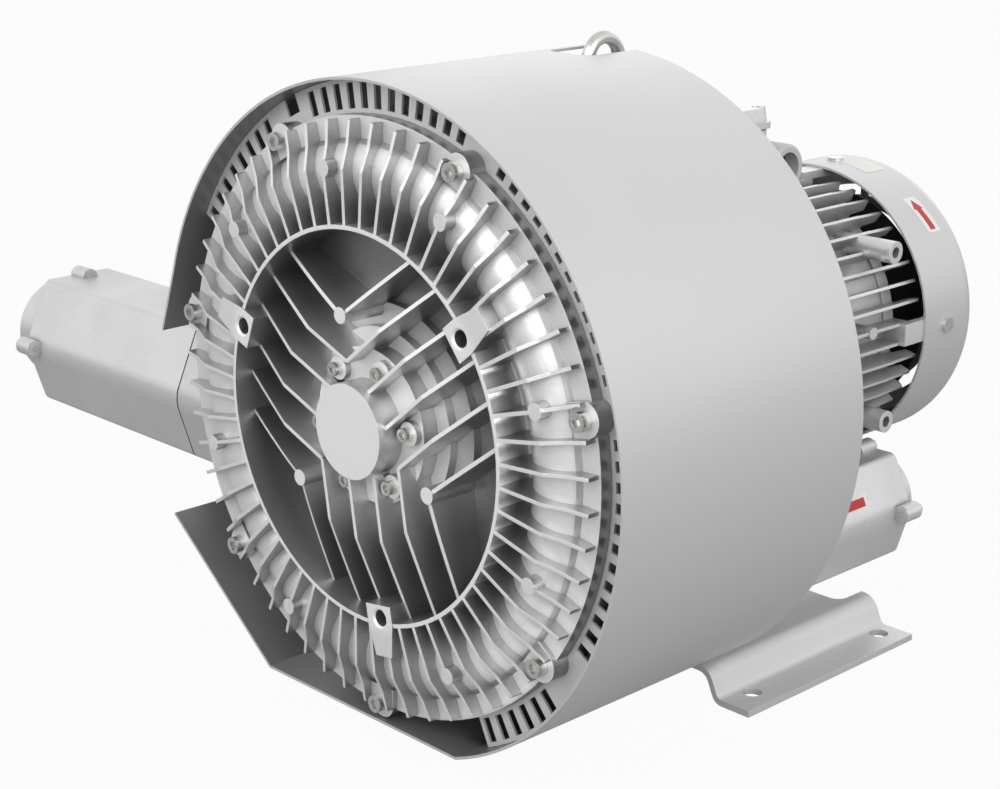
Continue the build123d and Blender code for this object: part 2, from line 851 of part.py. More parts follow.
export_step(middle_casing.part, "parts/middle_casing.step")

# Interstage bush: flanged ring that seals the partition round the spacer sleeve
bush_flange = 4.0
with BuildPart() as interstage_bush:
    with BuildSketch(section):
        with BuildLine():
            Polyline(
                (partition_station - bush_flange, sleeve_radius + run_gap),
                (partition_station - bush_flange, sleeve_radius + bush_wall + bush_flange),
                (partition_station, sleeve_radius + bush_wall + bush_flange),
                (partition_station, sleeve_radius + bush_wall - fit_gap),
                (partition_station + partition_wall, sleeve_radius + bush_wall - fit_gap),
                (partition_station + partition_wall, sleeve_radius + run_gap),
                close=True,
            )
        make_face()
    revolve(axis=shaft_axis)
interstage_bush.part.label = "interstage_bush"
export_step(interstage_bush.part, "parts/interstage_bush.step")

# Rear casing: ribs behind the second channel, as one pattern
rear_arc_centre = (rear_chamber_end - channel_centre_depth, channel_radius)
rear_skin_foot_station = rear_chamber_end + channel_skin_depth(land_outer_radius)
rear_crest_station = rear_chamber_end + channel_depth + channel_wall + rear_rib_rise
rear_rib_root = lantern_radius - lantern_wall / 2
rear_rib_middle = (rear_rib_root + casing_outer_radius) / 2
with BuildPart() as rear_ribs:
    with BuildSketch(facing(rear_crest_station)):
        with PolarLocations(rear_rib_middle, rear_rib_count, start_angle=rib_start_angle):
            Rectangle(casing_outer_radius - rear_rib_root + 2, rear_rib_thickness)
    extrude(amount=rear_crest_station - rear_wall_station)
    with BuildSketch(section):
        with BuildLine():
            Polyline(
                (rear_wall_back - 2, rear_rib_root),
                (rear_crest_station, rear_rib_root),
                (rear_crest_station, channel_radius),
                (rear_crest_station - 2 * rear_rib_rise, casing_outer_radius - 2),
                (rear_arc_centre[0], casing_outer_radius - 1),
                (rear_skin_foot_station - 2, channel_foot_radius - 1),
                (rear_skin_foot_station - 2, land_inner_radius - 2),
                (rear_wall_back - 2, land_inner_radius - 2),
                close=True,
            )
        make_face()
        with Locations(rear_arc_centre):
            Circle(wall_middle_arc, mode=Mode.SUBTRACT)
    revolve(axis=shaft_axis, mode=Mode.INTERSECT)

# Rear casing: shell with its lantern, lifting boss, outlet neck and pedestal
pedestal_top_height = -(lantern_radius - lantern_wall / 2)
seal_boss_radius = seal_pocket_radius + channel_wall + fit_gap + seal_width - 2
pedestal_base_height = foot_top_height + pedestal_base_thickness
pedestal_station = motor_flange_station
foot_screw_station = foot_station + foot_screw_inset
with BuildPart() as rear_casing:
    with BuildSketch(section):
        with BuildLine():
            Polyline(
                (rear_wall_station, seal_journal_radius + 1),
                (rear_wall_station, land_inner_radius),
                (rear_chamber_end, land_inner_radius),
                (rear_chamber_end, channel_foot_radius),
            )
            ThreePointArc(
                (rear_chamber_end, channel_foot_radius),
                (rear_chamber_end + channel_depth, channel_radius),
                (rear_chamber_end, channel_head_radius),
            )
            Polyline(
                (rear_chamber_end, channel_head_radius),
                (rear_chamber_end, chamber_radius),
                (rear_joint, chamber_radius),
                (rear_joint, flange_radius),
                (rear_joint + flange_thickness, flange_radius),
                (rear_joint + flange_thickness, casing_outer_radius),
                (rear_arc_centre[0], casing_outer_radius),
            )
            ThreePointArc(
                (rear_arc_centre[0], casing_outer_radius),
                (rear_chamber_end + channel_depth + channel_wall, channel_radius),
                (rear_skin_foot_station, land_outer_radius),
            )
            Polyline(
                (rear_skin_foot_station, land_outer_radius),
                (rear_skin_foot_station, recess_radius),
                (rear_wall_back, recess_radius),
                (rear_wall_back, lantern_radius),
                (motor_flange_station - motor_flange_thickness, lantern_radius),
                (motor_flange_station - motor_flange_thickness, motor_flange_radius),
                (motor_flange_station, motor_flange_radius),
                (motor_flange_station, spigot_radius),
                (motor_flange_station - motor_flange_thickness, spigot_radius),
                (motor_flange_station - motor_flange_thickness, lantern_radius - lantern_wall),
                (rear_wall_back, lantern_radius - lantern_wall),
                (rear_wall_back, seal_boss_radius),
                (seal_station + seal_width, seal_boss_radius),
                (seal_station + seal_width, seal_pocket_radius),
                (seal_station, seal_pocket_radius),
                (seal_station, seal_journal_radius + 1),
                (rear_wall_station, seal_journal_radius + 1),
            )
        make_face()
    revolve(axis=shaft_axis)
    add(rear_ribs.part)
    with BuildSketch(facing(rear_joint + flange_thickness)):
        add(ears(rear_ear_screw_circle))
        Circle(chamber_radius + 1, mode=Mode.SUBTRACT)
    extrude(amount=flange_thickness)
    with BuildSketch(facing(rear_joint + flange_thickness)):
        with Locations(*ring_of(rear_ear_screw_circle, ear_count, ear_start_angle)):
            Circle(casing_screw_radius + fit_gap)
    extrude(amount=flange_thickness, mode=Mode.SUBTRACT)
    with BuildSketch(section):
        with BuildLine():
            Polyline(
                (rear_crest_station - rear_rib_rise - 2, lantern_radius - 2),
                (rear_crest_station - rear_rib_rise - 2, channel_head_radius),
                (lifting_station - lifting_boss_radius, lifting_boss_height),
                (lifting_station, lifting_boss_height),
                (lifting_station, channel_foot_radius),
                (motor_flange_station, motor_flange_radius),
                (motor_flange_station, lantern_radius - 2),
                close=True,
            )
        make_face()
    extrude(amount=lifting_web / 2, both=True)
    with BuildSketch(level(lifting_boss_height, lifting_station)):
        Circle(lifting_boss_radius)
    extrude(amount=channel_foot_radius - lifting_boss_height)
    with BuildSketch(level(lifting_boss_height, lifting_station)):
        Circle(eye_shank_radius + fit_gap)
    extrude(amount=-eye_shank_length - 2, mode=Mode.SUBTRACT)
    with BuildSketch(outlet_plane.offset(-outlet_flange_thickness)):
        Circle(outlet_neck_radius)
    outlet_channel_rise = rear_chamber_end + channel_depth - rear_wall_back
    extrude(amount=-(outlet_neck_length - outlet_channel_rise - channel_wall / 2))
    with BuildSketch(outlet_plane):
        add(silencer_outline(outlet_section))
    extrude(amount=-outlet_flange_thickness)
    with BuildSketch(outlet_plane):
        Circle(passage_radius)
    extrude(amount=-(outlet_joint_station - rear_chamber_end), mode=Mode.SUBTRACT)
    with BuildSketch(outlet_plane):
        with Locations(*ring_of(outlet_tie_circle, 4, tie_screw_angle)):
            Circle(tie_screw_radius + fit_gap)
    extrude(amount=-outlet_flange_thickness, mode=Mode.SUBTRACT)
    with BuildSketch(facing(pedestal_station)):
        with Locations((pedestal_offset, (pedestal_top_height + pedestal_base_height) / 2)):
            Rectangle(pedestal_width, pedestal_top_height - pedestal_base_height + pedestal_base_thickness)
    extrude(amount=motor_flange_thickness)
    with BuildSketch(level(pedestal_base_height, pedestal_station)):
        with Locations((pedestal_offset, pedestal_base_length / 2 - motor_flange_thickness)):
            RectangleRounded(pedestal_base_width, pedestal_base_length, pedestal_base_thickness / 2)
    extrude(amount=-pedestal_base_thickness)
    with BuildSketch(section.offset(pedestal_offset)):
        with BuildLine():
            Polyline(
                (motor_flange_station - 1, pedestal_base_height - 1),
                (motor_flange_station - 1, -motor_flange_radius - foot_sheet),
                (motor_flange_station + pedestal_gusset_reach, pedestal_base_height - 1),
                close=True,
            )
        make_face()
    extrude(amount=pedestal_gusset / 2, both=True)
    with BuildSketch(level(pedestal_base_height, foot_screw_station)):
        with Locations((pedestal_offset, 0)):
            with GridLocations(foot_screw_spacing[0], foot_screw_spacing[1], 2, 2):
                Circle(foot_screw_radius + fit_gap)
    extrude(amount=-pedestal_base_thickness, mode=Mode.SUBTRACT)
    with BuildSketch(facing(motor_flange_station)):
        with Locations(*ring_of(shield_screw_circle, shield_screw_count, 45)):
            Circle(shield_screw_radius + fit_gap)
    extrude(amount=motor_flange_thickness, mode=Mode.SUBTRACT)
rear_casing.part.label = "rear_casing"
export_step(rear_casing.part, "parts/rear_casing.step")

# Screws of the rear flange; those that carry a hood bracket sit one sheet further back
def looking_back(station):
    """Plane square to the shaft at a station, looking towards the fan."""
    origin = (0, hood_front + station, shaft_height)
    return Plane(origin=origin, x_dir=(-1, 0, 0), z_dir=(0, 1, 0))


def mirrored(places):
    """Places seen from the front, as they lie on a plane that looks towards the fan."""
    return [(-across, up) for across, up in places]


rear_face_station = rear_joint + flange_thickness
rear_ear_places = ring_of(rear_ear_screw_circle, ear_count, ear_start_angle)
bracket_places = [rear_ear_places[number] for number in hood_bracket_ears]
bracket_angles = [ear_start_angle + 360 * number / ear_count for number in hood_bracket_ears]
plain_places = [place for place in rear_ear_places if place not in bracket_places]
with BuildPart() as casing_screws:
    add(
        screws(
            looking_back(rear_face_station + hood_sheet),
            mirrored(bracket_places),
            casing_screw_head_radius,
            casing_screw_head_height,
            casing_screw_radius,
            hood_sheet + 2 * flange_thickness,
        )
    )
    add(
        screws(
            looking_back(rear_face_station),
            mirrored(plain_places),
            casing_screw_head_radius,
            casing_screw_head_height,
            casing_screw_radius,
            2 * flange_thickness,
        )
    )
casing_screws.part.label = "casing_screws"
export_step(casing_screws.part, "parts/casing_screws.step")

# Shaft seal, pressed into the pocket behind the second stage
with BuildPart() as shaft_seal:
    add(race(seal_station, seal_width, seal_journal_radius + run_gap, seal_pocket_radius - fit_gap))
shaft_seal.part.label = "shaft_seal"
export_step(shaft_seal.part, "parts/shaft_seal.step")

# Hood: one rolled sheet, notched for the eyebolt and cut away over the foot
hood_bottom_height = hood_sheet - hood_bottom_drop
hood_bottom_x = sqrt(hood_inner_radius**2 - hood_bottom_height**2)
hood_foot_edge_x = foot_web_foot_x + foot_bend_radius
hood_foot_cut_width = foot_plate_cut_width / 2 + hood_foot_edge_x
with BuildPart() as hood:
    with BuildSketch(facing(hood_length)):
        with BuildLine():
            upper_edge = polar(hood_inner_radius, hood_upper_flap_angle)
            right_edge = polar(hood_inner_radius, hood_upper_flap_angle / 3)
            bottom_edge = (hood_bottom_x, hood_bottom_height)
            Line(hood_upper_flap_tip, upper_edge)
            ThreePointArc(upper_edge, right_edge, bottom_edge)
            Polyline(bottom_edge, (hood_lower_bend_x, hood_bottom_height), hood_lower_flap_tip)
            offset(amount=hood_sheet, side=Side.LEFT)
        make_face()
    extrude(amount=hood_length)
    with BuildSketch(level(hood_radius, hood_length)):
        RectangleRounded(hood_notch_width, 2 * hood_notch_length, hood_notch_width / 3)
    extrude(amount=-hood_radius / 4, mode=Mode.SUBTRACT)
    with BuildSketch(level(-hood_radius - hood_sheet, hood_length)):
        with Locations(((foot_plate_cut_width / 2 - hood_foot_edge_x) / 2, 0)):
            Rectangle(hood_foot_cut_width, 2 * (hood_length - foot_station + hood_sheet))
    extrude(amount=hood_radius / 6, mode=Mode.SUBTRACT)
    with BuildSketch(level(-hood_radius - hood_sheet, rear_joint)):
        RectangleRounded(hood_ear_slot[1], hood_ear_slot[0], hood_ear_slot[1] / 4)
    extrude(amount=hood_radius / 6, mode=Mode.SUBTRACT)
hood.part.label = "hood"
export_step(hood.part, "parts/hood.step")

# Slotted ring, clamped between the ears of the cover and of the middle casing
grille_inner_radius = flange_radius + fit_gap
grille_outer_radius = hood_inner_radius - seat_gap
slot_length = grille_outer_radius - grille_inner_radius - 2 * grille_rim
slot_radius = (grille_outer_radius + grille_inner_radius) / 2
ear_angles = [ear_start_angle + 360 * number / ear_count for number in range(ear_count)]


def clear_of_ears(angle):
    """True where a slot would not run into a clamping ear."""
    turns = [abs((angle - ear_angle + 180) % 360 - 180) for ear_angle in ear_angles]
    return min(turns) > grille_blank_half_angle


slot_total = int((grille_end_angle - grille_start_angle) / grille_pitch_angle)
slot_angles = [grille_start_angle + (number + 0.5) * grille_pitch_angle for number in range(slot_total)]
slot_places = [
    Location((*polar(slot_radius, angle), 0), (0, 0, angle)) for angle in slot_angles if clear_of_ears(angle)
]
with BuildPart() as hood_ring:
    with BuildSketch(facing(front_joint)):
        Circle(grille_outer_radius)
        Circle(grille_inner_radius, mode=Mode.SUBTRACT)
        Polygon(
            (0, 0),
            polar(2 * hood_radius, grille_end_angle),
            polar(2 * hood_radius, (grille_end_angle + grille_start_angle) / 2 + 180),
            polar(2 * hood_radius, grille_start_angle),
            align=None,
            mode=Mode.SUBTRACT,
        )
        with Locations(*slot_places):
            Rectangle(slot_length, grille_slot_width, mode=Mode.SUBTRACT)
        with PolarLocations(grille_outer_radius, 1, start_angle=grille_notch_angle):
            Rectangle(2 * grille_notch[1], grille_notch[0], mode=Mode.SUBTRACT)
    extrude(amount=grille_thickness)
hood_ring.part.label = "hood_ring"
export_step(hood_ring.part, "parts/hood_ring.step")

# Angle brackets that carry the back of the hood on the rear flange
with BuildPart() as hood_brackets:
    with BuildSketch(facing(rear_face_station)):
        for angle in bracket_angles:
            with PolarLocations((rear_ear_screw_circle + grille_outer_radius) / 2, 1, start_angle=angle):
                Rectangle(
                    grille_outer_radius - rear_ear_screw_circle + 2 * hood_bracket_overlap,
                    hood_bracket_width,
                )
        Circle(grille_outer_radius, mode=Mode.INTERSECT)
        Circle(casing_outer_radius + seat_gap, mode=Mode.SUBTRACT)
        with Locations(*bracket_places):
            Circle(casing_screw_radius + fit_gap, mode=Mode.SUBTRACT)
    extrude(amount=-hood_sheet)
    with BuildSketch(facing(rear_face_station + hood_sheet)):
        for angle in bracket_angles:
            with PolarLocations(grille_outer_radius, 1, start_angle=angle):
                Rectangle(4 * hood_sheet, hood_bracket_width)
        Circle(grille_outer_radius, mode=Mode.INTERSECT)
        Circle(grille_outer_radius - hood_sheet, mode=Mode.SUBTRACT)
    extrude(amount=-hood_bracket_reach)
hood_brackets.part.label = "hood_brackets"
export_step(hood_brackets.part, "parts/hood_brackets.step")

# Eyebolt, screwed into the lifting boss of the rear casing
eye_centre_height = lifting_boss_height + eye_collar_height + eye_ring_radius + eye_wire_radius / 2
with BuildPart() as eyebolt:
    with BuildSketch(level(lifting_boss_height, lifting_station)):
        Circle(eye_collar_radius)
    extrude(amount=eye_collar_height)
    with BuildSketch(level(lifting_boss_height, lifting_station)):
        Circle(eye_shank_radius)
    extrude(amount=-eye_shank_length)
    with BuildSketch(level(eye_centre_height, lifting_station)):
        with Locations((0, eye_ring_radius)):
            Circle(eye_wire_radius)
    revolve(axis=Axis((0, hood_front + lifting_station, shaft_height + eye_centre_height), (1, 0, 0)))
eyebolt.part.label = "eyebolt"
export_step(eyebolt.part, "parts/eyebolt.step")

# Foot: one bent sheet with two drilled flanges, open at the back under the motor
with BuildPart() as foot_bracket:
    with BuildSketch(facing(foot_station + foot_length)):
        with BuildLine():
            FilletPolyline(
                (-foot_half_width, floor_height),
                (-foot_web_foot_x, floor_height),
                (-foot_web_top_x, foot_top_height - foot_sheet),
                (foot_web_top_x, foot_top_height - foot_sheet),
                (foot_web_foot_x, floor_height),
                (foot_half_width, floor_height),
                radius=foot_bend_radius,
            )
            offset(amount=foot_sheet, side=Side.LEFT)
        make_face()
    extrude(amount=foot_length)
    with BuildSketch(level(foot_top_height, foot_station + foot_length)):
        RectangleRounded(foot_plate_cut_width, 2 * foot_plate_cut, foot_bend_radius)
    extrude(amount=-2 * foot_sheet, mode=Mode.SUBTRACT)
    with BuildSketch(Plane.XY):
        with GridLocations(foot_hole_spacing[0], foot_hole_spacing[1], 2, 2):
            Circle(foot_hole_radius)
    extrude(amount=2 * foot_sheet, mode=Mode.SUBTRACT)
    with BuildSketch(level(foot_top_height, foot_screw_station)):
        with Locations((pedestal_offset, 0)):
            with GridLocations(foot_screw_spacing[0], foot_screw_spacing[1], 2, 2):
                Circle(foot_screw_radius + fit_gap)
    extrude(amount=-foot_sheet, mode=Mode.SUBTRACT)
foot_bracket.part.label = "foot_bracket"
export_step(foot_bracket.part, "parts/foot_bracket.step")

foot_screw_places = [
    (pedestal_offset + across * foot_screw_spacing[0] / 2, along * foot_screw_spacing[1] / 2)
    for across in (-1, 1)
    for along in (-1, 1)
]
with BuildPart() as foot_screws:
    add(
        screws(
            level(pedestal_base_height, foot_screw_station),
            foot_screw_places,
            foot_screw_head_radius,
            foot_screw_head_height,
            foot_screw_radius,
            pedestal_base_thickness + foot_sheet + foot_nut_thickness,
        )
    )
foot_screws.part.label = "foot_screws"
export_step(foot_screws.part, "parts/foot_screws.step")

with BuildPart() as foot_nuts:
    with BuildSketch(level(foot_top_height - foot_sheet, foot_screw_station)):
        with Locations(*foot_screw_places):
            RegularPolygon(foot_nut_radius, 6)
            Circle(foot_screw_radius + fit_gap, mode=Mode.SUBTRACT)
    extrude(amount=-foot_nut_thickness)
foot_nuts.part.label = "foot_nuts"
export_step(foot_nuts.part, "parts/foot_nuts.step")


# Silencers: the inlet's and the outlet's share one build-up of body, liner and end flange
def silencer_gasket(plane, size):
    """Flat gasket between the neck and the silencer."""
    with BuildPart() as sheet:
        with BuildSketch(plane):
            add(silencer_outline(size))
            add(silencer_outline(size, silencer_wall), mode=Mode.SUBTRACT)
        extrude(amount=gasket_thickness)
    return sheet.part


def silencer_body(plane, size, tie_circle):
    """Open casting with a drilled end wall and four ears for the end flange."""
    with BuildPart() as body:
        with BuildSketch(plane.offset(gasket_thickness)):
            add(silencer_outline(size))
        extrude(amount=silencer_length)
        with BuildSketch(plane.offset(gasket_thickness + silencer_length)):
            add(silencer_outline(size))
            with Locations(*ear_points(size)):
                Circle(silencer_ear_radius)
        extrude(amount=-silencer_ear_height)
        with BuildSketch(plane.offset(gasket_thickness)):
            add(silencer_outline(size, silencer_wall))
        extrude(amount=silencer_length - silencer_end_wall, mode=Mode.SUBTRACT)
        with BuildSketch(plane.offset(gasket_thickness + silencer_length)):
            Circle(passage_radius)
            with Locations(*ring_of(tie_circle, 4, tie_screw_angle)):
                Circle(tie_screw_radius + fit_gap)
            with Locations(*ear_points(size)):
                Circle(end_screw_radius + fit_gap)
        extrude(amount=-silencer_end_wall, mode=Mode.SUBTRACT)
        with BuildSketch(plane.offset(gasket_thickness + silencer_length)):
            with Locations(*ring_of(tie_circle, 4, tie_screw_angle)):
                Circle(tie_screw_head_radius + fit_gap)
        extrude(amount=-tie_screw_head_height - fit_gap, mode=Mode.SUBTRACT)
    return body.part


def silencer_liner(plane, size, tie_circle):
    """Sound absorber that fills the casting round the passage."""
    with BuildPart() as liner:
        with BuildSketch(plane.offset(gasket_thickness)):
            add(silencer_outline(size, silencer_wall + seat_gap))
            Circle(passage_radius, mode=Mode.SUBTRACT)
            with Locations(*ring_of(tie_circle, 4, tie_screw_angle)):
                Circle(tie_screw_radius + seat_gap, mode=Mode.SUBTRACT)
        extrude(amount=silencer_length - silencer_end_wall - seat_gap)
    return liner.part


def end_flange(plane, size, nose):
    """Cover plate of a silencer with the threaded port in its round nose."""
    with BuildPart() as flange:
        with BuildSketch(plane.offset(gasket_thickness + silencer_length)):
            add(silencer_outline(size))
            with Locations(*ear_points(size)):
                Circle(silencer_ear_radius)
        extrude(amount=end_flange_thickness)
        with BuildSketch(plane.offset(gasket_thickness + silencer_length + end_flange_thickness)):
            Circle(nose[0])
        extrude(amount=nose[1])
        with BuildSketch(plane.offset(gasket_thickness + silencer_length)):
            Circle(port_thread_radius)
        extrude(amount=end_flange_thickness + nose[1], mode=Mode.SUBTRACT)
        with BuildSketch(plane.offset(gasket_thickness + silencer_length)):
            with Locations(*ear_points(size)):
                Circle(end_screw_radius + fit_gap)
        extrude(amount=end_flange_thickness, mode=Mode.SUBTRACT)
    return flange.part


def end_screws(plane, size):
    """Four screws through the ears of an end flange."""
    return screws(
        plane.offset(gasket_thickness + silencer_length + end_flange_thickness),
        ear_points(size),
        end_screw_head_radius,
        end_screw_head_height,
        end_screw_radius,
        end_flange_thickness + silencer_ear_height,
    )


def tie_screws(plane, tie_circle, reach):
    """Four long screws that hold a silencer to its neck from inside."""
    return screws(
        plane.offset(gasket_thickness + silencer_length - tie_screw_head_height - fit_gap),
        ring_of(tie_circle, 4, tie_screw_angle),
        tie_screw_head_radius,
        tie_screw_head_height,
        tie_screw_radius,
        silencer_length - tie_screw_head_height - fit_gap + gasket_thickness + reach,
    )


with BuildPart() as inlet_gasket:
    add(silencer_gasket(inlet_plane, inlet_section))
inlet_gasket.part.label = "inlet_gasket"
export_step(inlet_gasket.part, "parts/inlet_gasket.step")

with BuildPart() as inlet_silencer:
    add(silencer_body(inlet_plane, inlet_section, inlet_tie_circle))
inlet_silencer.part.label = "inlet_silencer"
export_step(inlet_silencer.part, "parts/inlet_silencer.step")

with BuildPart() as inlet_liner:
    add(silencer_liner(inlet_plane, inlet_section, inlet_tie_circle))
inlet_liner.part.label = "inlet_liner"
export_step(inlet_liner.part, "parts/inlet_liner.step")

with BuildPart() as inlet_end_flange:
    add(end_flange(inlet_plane, inlet_section, inlet_nose))
inlet_end_flange.part.label = "inlet_end_flange"
export_step(inlet_end_flange.part, "parts/inlet_end_flange.step")

with BuildPart() as inlet_flange_screws:
    add(end_screws(inlet_plane, inlet_section))
inlet_flange_screws.part.label = "inlet_flange_screws"
export_step(inlet_flange_screws.part, "parts/inlet_flange_screws.step")

with BuildPart() as inlet_tie_screws:
    add(tie_screws(inlet_plane, inlet_tie_circle, inlet_neck_length))
inlet_tie_screws.part.label = "inlet_tie_screws"
export_step(inlet_tie_screws.part, "parts/inlet_tie_screws.step")

with BuildPart() as outlet_gasket:
    with BuildSketch(outlet_plane):
        add(silencer_outline(outlet_section))
        Circle(passage_radius, mode=Mode.SUBTRACT)
        with Locations(*ring_of(outlet_tie_circle, 4, tie_screw_angle)):
            Circle(tie_screw_radius + fit_gap, mode=Mode.SUBTRACT)
    extrude(amount=gasket_thickness)
outlet_gasket.part.label = "outlet_gasket"
export_step(outlet_gasket.part, "parts/outlet_gasket.step")

with BuildPart() as outlet_silencer:
    add(silencer_body(outlet_plane, outlet_section, outlet_tie_circle))
outlet_silencer.part.label = "outlet_silencer"
export_step(outlet_silencer.part, "parts/outlet_silencer.step")

with BuildPart() as outlet_liner:
    add(silencer_liner(outlet_plane, outlet_section, outlet_tie_circle))
outlet_liner.part.label = "outlet_liner"
export_step(outlet_liner.part, "parts/outlet_liner.step")

with BuildPart() as outlet_end_flange:
    add(end_flange(outlet_plane, outlet_section, outlet_nose))
outlet_end_flange.part.label = "outlet_end_flange"
export_step(outlet_end_flange.part, "parts/outlet_end_flange.step")

with BuildPart() as outlet_flange_screws:
    add(end_screws(outlet_plane, outlet_section))
outlet_flange_screws.part.label = "outlet_flange_screws"
export_step(outlet_flange_screws.part, "parts/outlet_flange_screws.step")

with BuildPart() as outlet_tie_screws:
    add(tie_screws(outlet_plane, outlet_tie_circle, outlet_flange_thickness))
outlet_tie_screws.part.label = "outlet_tie_screws"
export_step(outlet_tie_screws.part, "parts/outlet_tie_screws.step")

# Shaft: one turned bar, stepped for the bearings, the impellers, the core and the fan
end_step_station = front_web_station - impeller_side_gap
clip_station = fan_station + fan_width
shaft_end = clip_station + 3 * fan_clip_thickness
with BuildPart() as shaft:
    with BuildSketch(section):
        with BuildLine():
            Polyline(
                (front_bearing_station - nut_thickness - 2, 0),
                (front_bearing_station - nut_thickness - 2, end_journal_radius),
                (end_step_station, end_journal_radius),
                (end_step_station, impeller_seat_radius),
                (rear_web_end, impeller_seat_radius),
                (rear_web_end, seal_journal_radius),
                (drive_bearing_station, seal_journal_radius),
                (drive_bearing_station, drive_journal_radius),
                (drive_bearing_station + drive_bearing_width, drive_journal_radius),
                (drive_bearing_station + drive_bearing_width, core_seat_radius),
                (core_end + winding_length, core_seat_radius),
                (core_end + winding_length, drive_journal_radius),
                (fan_bearing_station, drive_journal_radius),
                (fan_bearing_station, end_journal_radius),
                (fan_bearing_end, end_journal_radius),
                (fan_bearing_end, fan_seat_radius),
                (shaft_end, fan_seat_radius),
                (shaft_end, 0),
                close=True,
            )
        make_face()
    revolve(axis=shaft_axis)
shaft.part.label = "shaft"
export_step(shaft.part, "parts/shaft.step")

# Impellers: two alike, the rear one turned round so that their hubs face each other
with BuildPart() as front_impeller:
    with BuildSketch(section):
        with BuildLine():
            Polyline(
                (front_web_station, impeller_seat_radius + fit_gap),
                (front_web_station, impeller_rim_radius),
                (front_impeller_station, impeller_rim_radius),
                (front_impeller_station, impeller_rim_radius + impeller_rim_wall),
                (front_impeller_end, impeller_rim_radius + impeller_rim_wall),
                (front_impeller_end, impeller_rim_radius),
                (front_web_station + impeller_web, impeller_rim_radius),
                (front_web_station + impeller_web, impeller_hub_radius),
                (front_impeller_end, impeller_hub_radius),
                (front_impeller_end, impeller_seat_radius + fit_gap),
                close=True,
            )
        make_face()
    revolve(axis=shaft_axis)
    with BuildSketch(facing(front_impeller_end)):
        with PolarLocations((impeller_rim_radius + impeller_rim_wall / 2 + impeller_radius) / 2, vane_count):
            Rectangle(impeller_radius - impeller_rim_radius - impeller_rim_wall / 2, vane_thickness)
    extrude(amount=impeller_width)
    with BuildSketch(facing(front_web_station + impeller_web / 2 + vane_thickness / 2)):
        Circle(channel_radius)
        Circle(impeller_rim_radius + impeller_rim_wall / 2, mode=Mode.SUBTRACT)
    extrude(amount=vane_thickness)
front_impeller.part.label = "front_impeller"
export_step(front_impeller.part, "parts/front_impeller.step")

impellers_middle = (front_impeller_station + rear_impeller_station + impeller_width) / 2
with BuildPart() as rear_impeller:
    mirror(front_impeller.part, about=facing(impellers_middle))
rear_impeller.part.label = "rear_impeller"
export_step(rear_impeller.part, "parts/rear_impeller.step")

with BuildPart() as spacer_sleeve:
    add(
        race(
            front_impeller_end,
            rear_impeller_station - front_impeller_end,
            impeller_seat_radius + fit_gap,
            sleeve_radius,
        )
    )
spacer_sleeve.part.label = "spacer_sleeve"
export_step(spacer_sleeve.part, "parts/spacer_sleeve.step")

with BuildPart() as front_spacer:
    add(
        race(
            front_bearing_end,
            front_web_station - front_bearing_end,
            end_journal_radius + fit_gap,
            end_journal_radius + spacer_wall,
        )
    )
    with BuildSketch(facing(front_web_station)):
        Circle(impeller_seat_radius + fit_gap)
    extrude(amount=front_web_station - end_step_station + fit_gap, mode=Mode.SUBTRACT)
front_spacer.part.label = "front_spacer"
export_step(front_spacer.part, "parts/front_spacer.step")

with BuildPart() as shaft_nut:
    with BuildSketch(facing(front_bearing_station)):
        RegularPolygon(nut_radius, 6)
        Circle(end_journal_radius + fit_gap, mode=Mode.SUBTRACT)
    extrude(amount=nut_thickness)
shaft_nut.part.label = "shaft_nut"
export_step(shaft_nut.part, "parts/shaft_nut.step")


# Bearings: sealed, each as an outer race in the housing and an inner race on the shaft
def outer_race(station, width, bore, outside):
    """The race that stands still, with the seal that closes the balls in."""
    middle = bore + (outside - bore) * race_split
    return race(station, width, middle + run_gap / 2, outside - fit_gap)


def inner_race(station, width, bore, outside):
    """The race that turns with the shaft."""
    middle = bore + (outside - bore) * race_split
    return race(station, width, bore + fit_gap, middle - run_gap / 2)


with BuildPart() as front_bearing:
    add(outer_race(front_bearing_station, end_bearing_width, end_journal_radius, end_bearing_radius))
front_bearing.part.label = "front_bearing"
export_step(front_bearing.part, "parts/front_bearing.step")

with BuildPart() as front_bearing_inner:
    add(inner_race(front_bearing_station, end_bearing_width, end_journal_radius, end_bearing_radius))
front_bearing_inner.part.label = "front_bearing_inner"
export_step(front_bearing_inner.part, "parts/front_bearing_inner.step")

with BuildPart() as drive_bearing:
    add(outer_race(drive_bearing_station, drive_bearing_width, drive_journal_radius, drive_bearing_radius))
drive_bearing.part.label = "drive_bearing"
export_step(drive_bearing.part, "parts/drive_bearing.step")

with BuildPart() as drive_bearing_inner:
    add(inner_race(drive_bearing_station, drive_bearing_width, drive_journal_radius, drive_bearing_radius))
drive_bearing_inner.part.label = "drive_bearing_inner"
export_step(drive_bearing_inner.part, "parts/drive_bearing_inner.step")

with BuildPart() as fan_bearing:
    add(outer_race(fan_bearing_station, end_bearing_width, end_journal_radius, end_bearing_radius))
fan_bearing.part.label = "fan_bearing"
export_step(fan_bearing.part, "parts/fan_bearing.step")

with BuildPart() as fan_bearing_inner:
    add(inner_race(fan_bearing_station, end_bearing_width, end_journal_radius, end_bearing_radius))
fan_bearing_inner.part.label = "fan_bearing_inner"
export_step(fan_bearing_inner.part, "parts/fan_bearing_inner.step")

